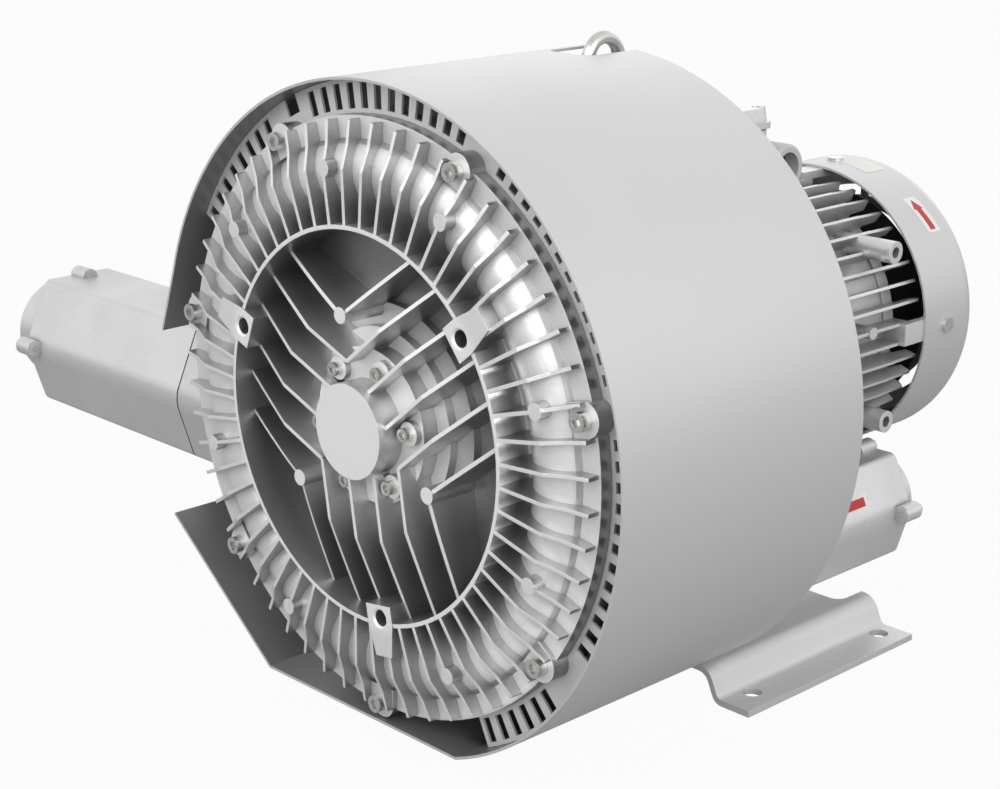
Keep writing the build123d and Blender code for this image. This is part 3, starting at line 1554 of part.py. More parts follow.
# Drive end shield: centres the motor on the lantern and holds the drive bearing
drive_hub_radius = drive_bearing_radius + shield_hub_wall
shield_spigot_radius = spigot_radius - fit_gap
frame_spigot_radius = frame_inner_radius - fit_gap
with BuildPart() as drive_end_shield:
    with BuildSketch(section):
        with BuildLine():
            Polyline(
                (motor_flange_station - spigot_depth, shield_spigot_radius - shield_rim),
                (motor_flange_station - spigot_depth, shield_spigot_radius),
                (motor_flange_station, shield_spigot_radius),
                (motor_flange_station, motor_flange_radius),
                (frame_station, motor_flange_radius),
                (frame_station, frame_spigot_radius),
                (frame_station + spigot_depth, frame_spigot_radius),
                (frame_station + spigot_depth, frame_spigot_radius - shield_rim),
                (frame_station, frame_spigot_radius - shield_rim),
                (frame_station, drive_hub_radius),
                (drive_bearing_station + drive_bearing_width, drive_hub_radius),
                (drive_bearing_station + drive_bearing_width, drive_bearing_radius),
                (drive_bearing_station, drive_bearing_radius),
                (drive_bearing_station, drive_bearing_radius - shield_hub_wall),
                (motor_flange_station, drive_bearing_radius - shield_hub_wall),
                (motor_flange_station, shield_spigot_radius - shield_rim),
                close=True,
            )
        make_face()
    revolve(axis=shaft_axis)
    with BuildSketch(facing(frame_station)):
        with Locations(*ring_of(shield_screw_circle, shield_screw_count, 45)):
            Circle(shield_screw_radius + fit_gap)
    extrude(amount=shield_thickness, mode=Mode.SUBTRACT)
drive_end_shield.part.label = "drive_end_shield"
export_step(drive_end_shield.part, "parts/drive_end_shield.step")

with BuildPart() as motor_flange_screws:
    add(
        screws(
            looking_back(frame_station),
            ring_of(shield_screw_circle, shield_screw_count, 45),
            shield_screw_head_radius,
            shield_screw_head_height,
            shield_screw_radius,
            shield_thickness + motor_flange_thickness,
        )
    )
motor_flange_screws.part.label = "motor_flange_screws"
export_step(motor_flange_screws.part, "parts/motor_flange_screws.step")


# Motor frame: finned tube with a pad for the terminal box and bored lugs on its sides
def across(offset, station, height):
    """Plane square to the X axis at an offset, looking towards +X."""
    origin = (offset, hood_front + station, shaft_height + height)
    return Plane(origin=origin, x_dir=(0, 1, 0), z_dir=(1, 0, 0))


fin_root = (frame_inner_radius + frame_outer_radius) / 2
pad_root = sqrt(fin_root**2 - frame_pad_height**2)
with BuildPart() as motor_frame:
    with BuildSketch(facing(frame_end)):
        Circle(frame_outer_radius)
    extrude(amount=frame_length)
    with BuildSketch(facing(frame_end)):
        with PolarLocations((fin_root + fin_tip_radius) / 2, fin_count, start_angle=180 / fin_count):
            Rectangle(fin_tip_radius - fin_root, fin_thickness)
    extrude(amount=frame_length - fin_inset)
    with BuildSketch(level(box_floor_height, box_station + box_length / 2)):
        Rectangle(box_width + 2 * box_wall, box_length + 2 * box_wall)
    extrude(amount=fin_tip_radius - box_floor_height + 1, mode=Mode.SUBTRACT)
    with BuildSketch(level(box_floor_height, box_station + box_length / 2)):
        RectangleRounded(box_pad_width, box_length - 2 * box_wall, box_corner_radius)
    extrude(amount=-(box_floor_height - fin_root * cos(radians(30))))
    for side in (-1, 1):
        for height in (-frame_pad_height, frame_pad_height):
            for inset in frame_pad_insets:
                with BuildSketch(across(side * frame_pad_reach, frame_station + inset, height)):
                    Circle(frame_pad_radius)
                extrude(amount=-side * (frame_pad_reach - pad_root))
                with BuildSketch(across(side * frame_pad_reach, frame_station + inset, height)):
                    Circle(frame_pad_bore_radius)
                extrude(amount=-side * frame_pad_bore_depth, mode=Mode.SUBTRACT)
    for inset, height in zip(small_pad_insets, small_pad_heights):
        small_pad_reach = sqrt(frame_pad_reach**2 - height**2)
        with BuildSketch(across(small_pad_reach, frame_station + inset, height)):
            Circle(small_pad_radius)
        extrude(amount=sqrt(fin_root**2 - height**2) - small_pad_reach)
    with BuildSketch(facing(frame_end)):
        Circle(frame_inner_radius)
    extrude(amount=frame_length, mode=Mode.SUBTRACT)
    with BuildSketch(facing(frame_end)):
        with Locations(*ring_of(fan_shield_screw_circle, 4, 45)):
            Circle(fan_shield_screw_radius + fit_gap)
    extrude(amount=fan_shield_screw_length, mode=Mode.SUBTRACT)
motor_frame.part.label = "motor_frame"
export_step(motor_frame.part, "parts/motor_frame.step")

with BuildPart() as stator_core:
    add(race(core_station, core_length, stator_bore_radius, frame_inner_radius - fit_gap))
stator_core.part.label = "stator_core"
export_step(stator_core.part, "parts/stator_core.step")

with BuildPart() as stator_windings:
    with BuildSketch(section):
        winding_radius = (winding_inner_radius + winding_outer_radius) / 2
        winding_middles = (core_station - winding_length / 2, core_end + winding_length / 2)
        with Locations(*[(middle, winding_radius) for middle in winding_middles]):
            RectangleRounded(winding_length, winding_outer_radius - winding_inner_radius, winding_length / 4)
    revolve(axis=shaft_axis)
stator_windings.part.label = "stator_windings"
export_step(stator_windings.part, "parts/stator_windings.step")

with BuildPart() as rotor_core:
    add(race(core_station, core_length, core_seat_radius + fit_gap, stator_bore_radius - air_gap))
rotor_core.part.label = "rotor_core"
export_step(rotor_core.part, "parts/rotor_core.step")

# Fan end shield: closes the frame, holds the fan bearing and four arms for the cowl
cowl_inner_radius = cowl_radius - cowl_sheet
cowl_arm_top = cowl_inner_radius - fit_gap
fan_hub_wall_radius = end_bearing_radius + shield_hub_wall
with BuildPart() as fan_end_shield:
    with BuildSketch(section):
        with BuildLine():
            Polyline(
                (fan_bearing_station, end_bearing_radius),
                (fan_bearing_station, fan_hub_wall_radius),
                (frame_end + 2, fan_hub_wall_radius),
                (frame_end + 2, frame_spigot_radius - shield_rim),
                (frame_end - spigot_depth, frame_spigot_radius - shield_rim),
                (frame_end - spigot_depth, frame_spigot_radius),
                (frame_end, frame_spigot_radius),
                (frame_end, frame_outer_radius + shield_lip),
                (frame_end + shield_rim, frame_outer_radius + shield_lip),
                (frame_end + shield_rim, fan_hub_wall_radius),
                (fan_bearing_end + 3, fan_hub_wall_radius),
                (fan_bearing_end + 3, end_journal_radius + spacer_wall),
                (fan_bearing_end, end_journal_radius + spacer_wall),
                (fan_bearing_end, end_bearing_radius),
                close=True,
            )
        make_face()
    revolve(axis=shaft_axis)
    with BuildSketch(facing(frame_end + shield_rim)):
        with PolarLocations((frame_outer_radius + cowl_arm_top) / 2, 4):
            Rectangle(cowl_arm_top - frame_outer_radius, cowl_arm_width)
        Circle(cowl_arm_top, mode=Mode.INTERSECT)
    extrude(amount=shield_rim)
    with BuildSketch(facing(frame_end + shield_rim + cowl_arm_length)):
        with PolarLocations(cowl_arm_top, 4):
            Rectangle(2 * cowl_arm_thickness, cowl_arm_width)
        Circle(cowl_arm_top, mode=Mode.INTERSECT)
    extrude(amount=cowl_arm_length)
    with Locations(facing(cowl_screw_station)):
        with PolarLocations(cowl_arm_top, 4):
            Cylinder(
                cowl_screw_radius + fit_gap,
                4 * cowl_arm_thickness,
                rotation=(0, 90, 0),
                mode=Mode.SUBTRACT,
            )
    with BuildSketch(facing(frame_end + shield_rim)):
        with Locations(*ring_of(fan_shield_screw_circle, 4, 45)):
            Circle(fan_shield_screw_radius + fit_gap)
    extrude(amount=shield_rim, mode=Mode.SUBTRACT)
fan_end_shield.part.label = "fan_end_shield"
export_step(fan_end_shield.part, "parts/fan_end_shield.step")

with BuildPart() as end_shield_screws:
    add(
        screws(
            looking_back(frame_end + shield_rim),
            ring_of(fan_shield_screw_circle, 4, 45),
            fan_shield_screw_head_radius,
            fan_shield_screw_head_height,
            fan_shield_screw_radius,
            shield_rim + fan_shield_screw_length,
        )
    )
end_shield_screws.part.label = "end_shield_screws"
export_step(end_shield_screws.part, "parts/end_shield_screws.step")

with BuildPart() as cooling_fan:
    with BuildSketch(facing(fan_station + fan_width)):
        Circle(fan_hub_radius)
    extrude(amount=fan_width)
    with BuildSketch(facing(fan_station + fan_width)):
        Circle(fan_disc_radius)
    extrude(amount=fan_disc_thickness)
    with BuildSketch(facing(fan_station + fan_width)):
        with PolarLocations((fan_hub_radius + fan_radius) / 2 - 1, fan_blade_count):
            Rectangle(fan_radius - fan_hub_radius + 2, fan_blade_thickness)
    extrude(amount=fan_width)
    with BuildSketch(facing(fan_station + fan_width)):
        Circle(fan_seat_radius + fit_gap)
    extrude(amount=fan_width, mode=Mode.SUBTRACT)
cooling_fan.part.label = "cooling_fan"
export_step(cooling_fan.part, "parts/cooling_fan.step")

with BuildPart() as fan_clip:
    add(
        race(
            clip_station,
            fan_clip_thickness,
            fan_seat_radius + fit_gap,
            fan_seat_radius + 2 * fan_clip_thickness,
        )
    )
fan_clip.part.label = "fan_clip"
export_step(fan_clip.part, "parts/fan_clip.step")

# Fan cowl: drawn sheet with a slotted rear face
cowl_bend_radius = cowl_radius - cowl_edge_radius
cowl_bend_station = cowl_end - cowl_edge_radius
bend_share = cos(radians(45))
outer_bend_reach = cowl_edge_radius * bend_share
inner_bend_reach = (cowl_edge_radius - cowl_sheet) * bend_share
with BuildPart() as fan_cowl:
    with BuildSketch(section):
        with BuildLine():
            Polyline(
                (cowl_bend_station, cowl_inner_radius),
                (cowl_station, cowl_inner_radius),
                (cowl_station, cowl_radius),
                (cowl_bend_station, cowl_radius),
            )
            ThreePointArc(
                (cowl_bend_station, cowl_radius),
                (cowl_bend_station + outer_bend_reach, cowl_bend_radius + outer_bend_reach),
                (cowl_end, cowl_bend_radius),
            )
            Polyline(
                (cowl_end, cowl_bend_radius),
                (cowl_end, 0),
                (cowl_end - cowl_sheet, 0),
                (cowl_end - cowl_sheet, cowl_bend_radius),
            )
            ThreePointArc(
                (cowl_end - cowl_sheet, cowl_bend_radius),
                (cowl_bend_station + inner_bend_reach, cowl_bend_radius + inner_bend_reach),
                (cowl_bend_station, cowl_inner_radius),
            )
        make_face()
    revolve(axis=shaft_axis)
    with BuildSketch(facing(cowl_end)):
        for slot_inner_radius in reversed(cowl_slot_radii):
            Circle(slot_inner_radius + cowl_slot_width)
            Circle(slot_inner_radius, mode=Mode.SUBTRACT)
        with PolarLocations(cowl_radius / 2, cowl_slot_spokes, start_angle=90):
            Rectangle(cowl_radius, cowl_spoke_width, mode=Mode.SUBTRACT)
    extrude(amount=cowl_sheet, mode=Mode.SUBTRACT)
    with Locations(facing(cowl_screw_station)):
        with PolarLocations(cowl_radius, 4):
            Cylinder(cowl_screw_radius + fit_gap, 4 * cowl_sheet, rotation=(0, 90, 0), mode=Mode.SUBTRACT)
fan_cowl.part.label = "fan_cowl"
export_step(fan_cowl.part, "parts/fan_cowl.step")

with BuildPart() as cowl_screws:
    with Locations(facing(cowl_screw_station)):
        with PolarLocations(cowl_radius + cowl_screw_head_height / 2, 4):
            Cylinder(cowl_screw_head_radius, cowl_screw_head_height, rotation=(0, 90, 0))
        with PolarLocations((cowl_radius + cowl_arm_top - cowl_arm_thickness) / 2, 4):
            Cylinder(cowl_screw_radius, cowl_radius - cowl_arm_top + cowl_arm_thickness, rotation=(0, 90, 0))
cowl_screws.part.label = "cowl_screws"
export_step(cowl_screws.part, "parts/cowl_screws.step")

# Terminal box on the motor's back, with its gasket, domed lid and screws
box_middle = box_station + box_length / 2
post_spacing = (box_width - 2 * box_post_radius - 1, box_length - 2 * box_post_radius - 1)
gland_station = frame_station + gland_inset
with BuildPart() as terminal_box:
    with BuildSketch(level(box_floor_height, box_middle)):
        RectangleRounded(box_width, box_length, box_corner_radius)
    extrude(amount=box_depth)
    with BuildSketch(level(box_end_height, box_middle)):
        RectangleRounded(box_width - 2 * box_wall, box_length - 2 * box_wall, box_corner_radius - box_wall)
    extrude(amount=box_wall - box_depth, mode=Mode.SUBTRACT)
    with BuildSketch(level(box_floor_height, box_middle)):
        with GridLocations(post_spacing[0], post_spacing[1], 2, 2):
            Circle(box_post_radius)
    extrude(amount=box_depth)
    with BuildSketch(level(box_end_height, box_middle)):
        with GridLocations(post_spacing[0], post_spacing[1], 2, 2):
            Circle(box_screw_radius + fit_gap)
    extrude(amount=-box_depth / 2, mode=Mode.SUBTRACT)
    with BuildSketch(across(box_width / 2, gland_station, gland_height)):
        Circle(gland_thread_radius + fit_gap)
    extrude(amount=-2 * box_wall, mode=Mode.SUBTRACT)
terminal_box.part.label = "terminal_box"
export_step(terminal_box.part, "parts/terminal_box.step")

with BuildPart() as terminal_gasket:
    with BuildSketch(level(box_end_height, box_middle)):
        RectangleRounded(box_width, box_length, box_corner_radius)
        RectangleRounded(
            box_width - 4 * box_wall,
            box_length - 4 * box_wall,
            box_corner_radius - box_wall,
            mode=Mode.SUBTRACT,
        )
        with GridLocations(post_spacing[0], post_spacing[1], 2, 2):
            Circle(box_screw_radius + fit_gap, mode=Mode.SUBTRACT)
    extrude(amount=gasket_thickness)
terminal_gasket.part.label = "terminal_gasket"
export_step(terminal_gasket.part, "parts/terminal_gasket.step")

lid_height_above_shaft = box_end_height + gasket_thickness
with BuildPart() as terminal_lid:
    with BuildSketch(level(lid_height_above_shaft, box_middle)):
        RectangleRounded(
            box_width + 2 * lid_overhang,
            box_length + 2 * lid_overhang,
            box_corner_radius + lid_overhang,
        )
    extrude(amount=lid_rim_thickness)
    with BuildSketch(level(lid_height_above_shaft + lid_rim_thickness, box_middle)):
        RectangleRounded(box_width, box_length, box_corner_radius)
    extrude(amount=lid_height - lid_rim_thickness, taper=lid_taper)
    with BuildSketch(level(lid_height_above_shaft, box_middle)):
        RectangleRounded(box_width - 4 * box_wall, box_length - 4 * box_wall, box_corner_radius)
        with GridLocations(post_spacing[0], post_spacing[1], 2, 2):
            Circle(box_post_radius, mode=Mode.SUBTRACT)
    extrude(amount=lid_height - box_wall, mode=Mode.SUBTRACT)
    with BuildSketch(level(lid_height_above_shaft, box_middle)):
        with GridLocations(post_spacing[0], post_spacing[1], 2, 2):
            Circle(box_screw_radius + fit_gap)
    extrude(amount=lid_height, mode=Mode.SUBTRACT)
    with BuildSketch(level(lid_height_above_shaft + lid_height, box_middle)):
        with GridLocations(post_spacing[0], post_spacing[1], 2, 2):
            Circle(box_screw_head_radius + 1)
    extrude(amount=-box_screw_head_height, mode=Mode.SUBTRACT)
terminal_lid.part.label = "terminal_lid"
export_step(terminal_lid.part, "parts/terminal_lid.step")

lid_screw_places = [
    (side * post_spacing[0] / 2, end * post_spacing[1] / 2) for side in (-1, 1) for end in (-1, 1)
]
with BuildPart() as terminal_lid_screws:
    add(
        screws(
            level(lid_height_above_shaft + lid_height - box_screw_head_height, box_middle),
            lid_screw_places,
            box_screw_head_radius,
            box_screw_head_height,
            box_screw_radius,
            lid_height + gasket_thickness - box_screw_head_height + box_depth / 3,
        )
    )
terminal_lid_screws.part.label = "terminal_lid_screws"
export_step(terminal_lid_screws.part, "parts/terminal_lid_screws.step")

with BuildPart() as terminal_block:
    with BuildSketch(level(box_floor_height + box_wall, box_middle)):
        Rectangle(block_width, block_length)
    extrude(amount=block_height)
    with BuildSketch(level(box_floor_height + box_wall + block_height, box_middle)):
        with GridLocations(block_width / 2, block_length / 3, 2, 3):
            Circle(stud_radius)
    extrude(amount=stud_height)
terminal_block.part.label = "terminal_block"
export_step(terminal_block.part, "parts/terminal_block.step")

# Cable gland in the box's side wall, open for a cable
with BuildPart() as cable_gland:
    with BuildSketch(across(box_width / 2, gland_station, gland_height)):
        RegularPolygon(gland_radius, 6)
    extrude(amount=gland_flange)
    with BuildSketch(across(box_width / 2 + gland_flange, gland_station, gland_height)):
        Circle(gland_nut_radius)
    extrude(amount=gland_reach - gland_flange)
    fillet(cable_gland.edges().group_by(Axis.X)[-1], gland_seal_wall)
    with BuildSketch(across(box_width / 2, gland_station, gland_height)):
        Circle(gland_thread_radius)
    extrude(amount=-2 * box_wall)
    with BuildSketch(across(box_width / 2 + gland_reach, gland_station, gland_height)):
        Circle(gland_bore_radius)
    extrude(amount=-gland_reach - 2 * box_wall, mode=Mode.SUBTRACT)
cable_gland.part.label = "cable_gland"
export_step(cable_gland.part, "parts/cable_gland.step")

with BuildPart() as gland_seal:
    with BuildSketch(across(box_width / 2 + gland_reach / 2, gland_station, gland_height)):
        Circle(gland_bore_radius - fit_gap)
        Circle(gland_bore_radius - gland_seal_wall, mode=Mode.SUBTRACT)
    extrude(amount=gland_seal_length)
gland_seal.part.label = "gland_seal"
export_step(gland_seal.part, "parts/gland_seal.step")
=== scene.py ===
import math

import bpy
import bmesh
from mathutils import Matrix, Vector


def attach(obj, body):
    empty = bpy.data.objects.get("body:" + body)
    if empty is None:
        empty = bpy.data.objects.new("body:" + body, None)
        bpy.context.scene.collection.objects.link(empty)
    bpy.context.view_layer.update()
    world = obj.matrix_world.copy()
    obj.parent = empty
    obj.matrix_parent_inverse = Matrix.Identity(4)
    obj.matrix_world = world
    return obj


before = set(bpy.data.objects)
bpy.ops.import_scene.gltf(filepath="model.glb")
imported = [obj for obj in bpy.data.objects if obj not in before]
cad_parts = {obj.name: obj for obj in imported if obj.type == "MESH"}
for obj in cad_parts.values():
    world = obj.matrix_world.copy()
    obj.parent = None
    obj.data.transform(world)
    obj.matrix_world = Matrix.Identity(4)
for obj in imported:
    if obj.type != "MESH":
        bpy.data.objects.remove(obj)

# The looks of the side channel blower. Metres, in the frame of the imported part: the shaft
# lies along Y, the ribbed cover faces -Y and the floor is at z = 0.

SHAFT_HEIGHT = 0.240
HOOD_FRONT = -0.332
CAMERA_PLACE = Vector((1.0338, -1.1936, 0.6745))
CAMERA_AZIMUTH = math.radians(46.335)
CAMERA_ELEVATION = math.radians(17.051)
CAMERA_LENS = 73.37
SENSOR_WIDTH = 36.0
CAMERA_REACH = 100.0

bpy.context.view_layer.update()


def station(distance):
    """Y of a point so many metres behind the hood's front edge."""
    return HOOD_FRONT + distance


# Materials: small builders of node trees

class Look:
    """One procedural material, built node by node."""

    def __init__(self, name, colour, roughness, metallic=0.0):
        self.material = bpy.data.materials.new(name)
        self.material.use_nodes = True
        self.tree = self.material.node_tree
        self.shader = self.tree.nodes["Principled BSDF"]
        self.shader.inputs["Base Color"].default_value = (*colour, 1.0)
        self.shader.inputs["Roughness"].default_value = roughness
        self.shader.inputs["Metallic"].default_value = metallic
        self.colour = None
        self.height = None

    def node(self, kind, **settings):
        """Adds a node with the given settings."""
        made = self.tree.nodes.new(kind)
        for key, value in settings.items():
            setattr(made, key, value)
        return made

    def link(self, source, target):
        self.tree.links.new(source, target)

    def place(self):
        """Position in the part's own frame."""
        return self.node("ShaderNodeTexCoord").outputs["Object"]

    def normal(self):
        """Direction that the surface looks in."""
        return self.node("ShaderNodeNewGeometry").outputs["True Normal"]

    def part_of(self, vector, letter):
        """One of the three parts of a vector, by its letter."""
        split = self.node("ShaderNodeSeparateXYZ")
        self.link(vector, split.inputs["Vector"])
        return split.outputs[letter]

    def noise(self, scale, detail=3.0, roughness=0.5, stretch=(1.0, 1.0, 1.0)):
        """Noise in the part's own frame, with so many grains to the metre."""
        mapping = self.node("ShaderNodeMapping")
        mapping.inputs["Scale"].default_value = stretch
        self.link(self.place(), mapping.inputs["Vector"])
        made = self.node("ShaderNodeTexNoise")
        made.inputs["Scale"].default_value = scale
        made.inputs["Detail"].default_value = detail
        made.inputs["Roughness"].default_value = roughness
        self.link(mapping.outputs["Vector"], made.inputs["Vector"])
        return made.outputs["Fac"]

    def spread(self, source, low, high, to_low=0.0, to_high=1.0):
        """Maps low..high of a value to to_low..to_high, and holds it at the ends."""
        made = self.node("ShaderNodeMapRange", interpolation_type="SMOOTHSTEP")
        made.inputs["From Min"].default_value = low
        made.inputs["From Max"].default_value = high
        made.inputs["To Min"].default_value = to_low
        made.inputs["To Max"].default_value = to_high
        self.link(source, made.inputs["Value"])
        return made.outputs["Result"]

    def maths(self, operation, first, second=None):
        """One sum on two values, each a number or the output of a node."""
        made = self.node("ShaderNodeMath", operation=operation)
        for socket, value in zip(made.inputs, (first, second)):
            if value is None:
                continue
            if isinstance(value, (int, float)):
                socket.default_value = value
            else:
                self.link(value, socket)
        return made.outputs["Value"]

    def times(self, first, second):
        return self.maths("MULTIPLY", first, second)

    def rest_of(self, source):
        """What a share leaves of 1."""
        return self.maths("SUBTRACT", 1.0, source)

    def blend(self, factor, colour):
        """Lays a colour over what is there, by a factor between 0 and 1."""
        made = self.node("ShaderNodeMix", data_type="RGBA")
        self.link(factor, made.inputs["Factor"])
        under, over = [socket for socket in made.inputs if socket.type == "RGBA"]
        if self.colour is None:
            under.default_value = self.shader.inputs["Base Color"].default_value
        else:
            self.link(self.colour, under)
        over.default_value = (*colour, 1.0)
        self.colour = [socket for socket in made.outputs if socket.type == "RGBA"][0]

    def rough(self, source, low, high, to_low, to_high):
        """Lets the roughness follow a value."""
        self.link(self.spread(source, low, high, to_low, to_high), self.shader.inputs["Roughness"])

    def add_height(self, source, depth):
        """Adds relief, in metres."""
        part = self.times(source, depth)
        self.height = part if self.height is None else self.maths("ADD", self.height, part)

    def done(self, edge=0.0):
        """The finished material, with edges rounded to a radius for the light."""
        if self.colour is not None:
            self.link(self.colour, self.shader.inputs["Base Color"])
        base = None
        if edge:
            bevel = self.node("ShaderNodeBevel", samples=4)
            bevel.inputs["Radius"].default_value = edge
            base = bevel.outputs["Normal"]
        if self.height is not None:
            bump = self.node("ShaderNodeBump")
            bump.inputs["Distance"].default_value = 1.0
            self.link(self.height, bump.inputs["Height"])
            if base is not None:
                self.link(base, bump.inputs["Normal"])
            base = bump.outputs["Normal"]
        if base is not None:
            self.link(base, self.shader.inputs["Normal"])
        return self.material

    def across(self):
        """Distance to the right of the shaft's axis, seen from in front of the cover."""
        return self.part_of(self.place(), "X")

    def below(self):
        """Distance below the shaft's axis."""
        return self.maths("SUBTRACT", SHAFT_HEIGHT, self.part_of(self.place(), "Z"))

    def by_radius(self, radii, to_low=0.0, to_high=1.0):
        """Goes from one value to another between two distances from the shaft's axis."""
        across = self.across()
        below = self.below()
        square = self.maths("ADD", self.times(across, across), self.times(below, below))
        return self.spread(self.maths("SQRT", square), *radii, to_low, to_high)

    def by_station(self, distances, to_low=0.0, to_high=1.0):
        """Goes from one value to another between two distances behind the hood's front edge."""
        ends = [station(distance) for distance in distances]
        return self.spread(self.part_of(self.place(), "Y"), *ends, to_low, to_high)

    def crevice_shade(self, reach, most):
        """Painted shade that rises to a limit where neighbouring surfaces shut a place in."""
        shut = self.node("ShaderNodeAmbientOcclusion", samples=8)
        shut.inputs["Distance"].default_value = reach
        return self.spread(shut.outputs["AO"], 0.15, 0.9, to_low=most, to_high=0.0)

    def faces_front(self):
        """1 where a surface looks towards -Y, 0 where it looks aside or back."""
        return self.spread(self.times(self.part_of(self.normal(), "Y"), -1.0), 0.3, 0.7)

    def leans(self, x, z):
        """Cosine between the normal and a direction square to the shaft."""
        join = self.node("ShaderNodeCombineXYZ")
        self.link(x, join.inputs["X"])
        self.link(z, join.inputs["Z"])
        unit = self.node("ShaderNodeVectorMath", operation="NORMALIZE")
        self.link(join.outputs["Vector"], unit.inputs[0])
        cosine = self.node("ShaderNodeVectorMath", operation="DOT_PRODUCT")
        self.link(unit.outputs["Vector"], cosine.inputs[0])
        self.link(self.normal(), cosine.inputs[1])
        return cosine.outputs["Value"]

    def faces_around(self):
        """1 where a surface looks around the shaft, as the sides of radial ribs do."""
        return self.spread(self.maths("ABSOLUTE", self.leans(self.below(), self.across())), 0.6, 0.9)

    def faces_axis(self):
        """1 where a surface looks towards the shaft, -1 where it looks away."""
        return self.leans(self.times(self.across(), -1.0), self.below())

    def painted_inside_shade(self):
        """The share of painted shade on the inside of a round sheet."""
        return self.spread(self.faces_axis(), 0.2, 0.4, to_low=0.0, to_high=0.85)


# Painted shade in crevices and corners: its colour, its reach in metres and its greatest share
PAINTED_CREVICE_SHADE = (0.05, 0.05, 0.052)
CREVICE_SHADE_REACH = 0.018
CREVICE_SHADE_SHARE = 0.55
ROUGHNESS_SWING = 0.06


def cast_paint(name, colour, dark, coarse=1.0, roughness=0.36, metallic=0.5):
    """Satin silver paint over a cast surface, with dark clouds and pits of a second colour, and painted
    shade in its crevices.
    """
    look = Look(name, colour, roughness, metallic)
    cloud = look.noise(scale=9.0, detail=4.0)
    grain = look.noise(scale=1400.0 / coarse, detail=2.0, roughness=0.6)
    pits = look.noise(scale=260.0 / coarse, detail=5.0, roughness=0.55)
    look.blend(look.spread(cloud, 0.35, 0.72, to_low=0.0, to_high=0.35), dark)
    look.blend(look.spread(pits, 0.30, 0.42, to_low=0.45, to_high=0.0), dark)
    # Painted shade where neighbouring surfaces close in
    look.blend(look.crevice_shade(reach=CREVICE_SHADE_REACH, most=CREVICE_SHADE_SHARE), PAINTED_CREVICE_SHADE)
    look.rough(cloud, 0.3, 0.75, roughness - ROUGHNESS_SWING, roughness + ROUGHNESS_SWING)
    look.add_height(grain, depth=0.00006 * coarse)
    look.add_height(pits, depth=0.00025 * coarse)
    return look


def sheet_paint(name, colour, dark):
    """Satin metallic paint on smooth sheet."""
    look = Look(name, colour, roughness=0.42, metallic=0.48)
    cloud = look.noise(scale=3.0, detail=3.0)
    flake = look.noise(scale=5200.0, detail=1.0, roughness=0.4)
    ripple = look.noise(scale=14.0, detail=2.0, roughness=0.4, stretch=(1.0, 0.35, 1.0))
    look.blend(look.spread(cloud, 0.3, 0.8, to_low=0.0, to_high=0.16), dark)
    look.blend(look.spread(flake, 0.35, 0.65, to_low=0.10, to_high=0.0), dark)
    look.rough(cloud, 0.3, 0.75, to_low=0.37, to_high=0.47)
    look.add_height(flake, depth=0.000012)
    look.add_height(ripple, depth=0.00022)
    return look


def plain_metal(name, colour, roughness, stretch=(1.0, 1.0, 1.0), scale=900.0):
    """Bare or plated metal with fine tool marks."""
    look = Look(name, colour, roughness, metallic=0.95)
    marks = look.noise(scale, detail=3.0, roughness=0.6, stretch=stretch)
    cloud = look.noise(scale=40.0, detail=3.0)
    darker = tuple(0.6 * part for part in colour)
    look.blend(look.spread(marks, 0.35, 0.7, to_low=0.0, to_high=0.35), darker)
    look.rough(cloud, 0.3, 0.7, to_low=roughness - ROUGHNESS_SWING, to_high=roughness + 0.10)
    look.add_height(marks, depth=0.00003)
    return look


def dull(name, colour, light, roughness, scale=700.0):
    """Plastic, rubber or foam: grained, and a little lighter in patches."""
    look = Look(name, colour, roughness)
    grain = look.noise(scale, detail=3.0, roughness=0.6)
    cloud = look.noise(scale=30.0, detail=3.0)
    look.blend(look.spread(cloud, 0.4, 0.75, to_low=0.0, to_high=0.5), light)
    look.rough(grain, 0.3, 0.7, roughness - ROUGHNESS_SWING, min(1.0, roughness + ROUGHNESS_SWING))
    look.add_height(grain, depth=0.00008)
    return look


# Front cover: painted light on faces that look to the front, and painted shade on rib sides, on the rim
# and in the recess

# Distances from the shaft's axis, and behind the hood's front edge, over which the painted light and shade
# change
RECESS_EDGE_RADII = (0.1392, 0.1398)
HUB_FADE_RADII = (0.066, 0.106)
RECESS_DEPTHS = (0.008, 0.024)
RECESS_SIDE_DEPTHS = (-0.013, 0.012)
RIB_START_RADII = (0.14, 0.15)
OUTER_RIM_RADII = (0.192, 0.196)

COVER_SILVER = (0.86, 0.86, 0.86)
COVER_SILVER_DARK = (0.58, 0.58, 0.585)
COVER_METALLIC = 0.85
# Painted light on faces that look to the front, where the paint is also less metallic
FRONT_LIGHT_METALLIC = 0.30
PAINTED_FRONT_LIGHT = (0.95, 0.95, 0.945)
# Painted shade on the rib sides, and its share
PAINTED_RIB_SIDE_SHADE = (0.20, 0.20, 0.205)
RIB_SIDE_SHADE_SHARE = 0.52
# Painted shade on the outer rim, and its share
RIM_SHADE = (0.16, 0.16, 0.165)
RIM_SHARE = 0.7
# Painted shade in the recess
PAINTED_RECESS_SHADE = (0.23, 0.233, 0.235)


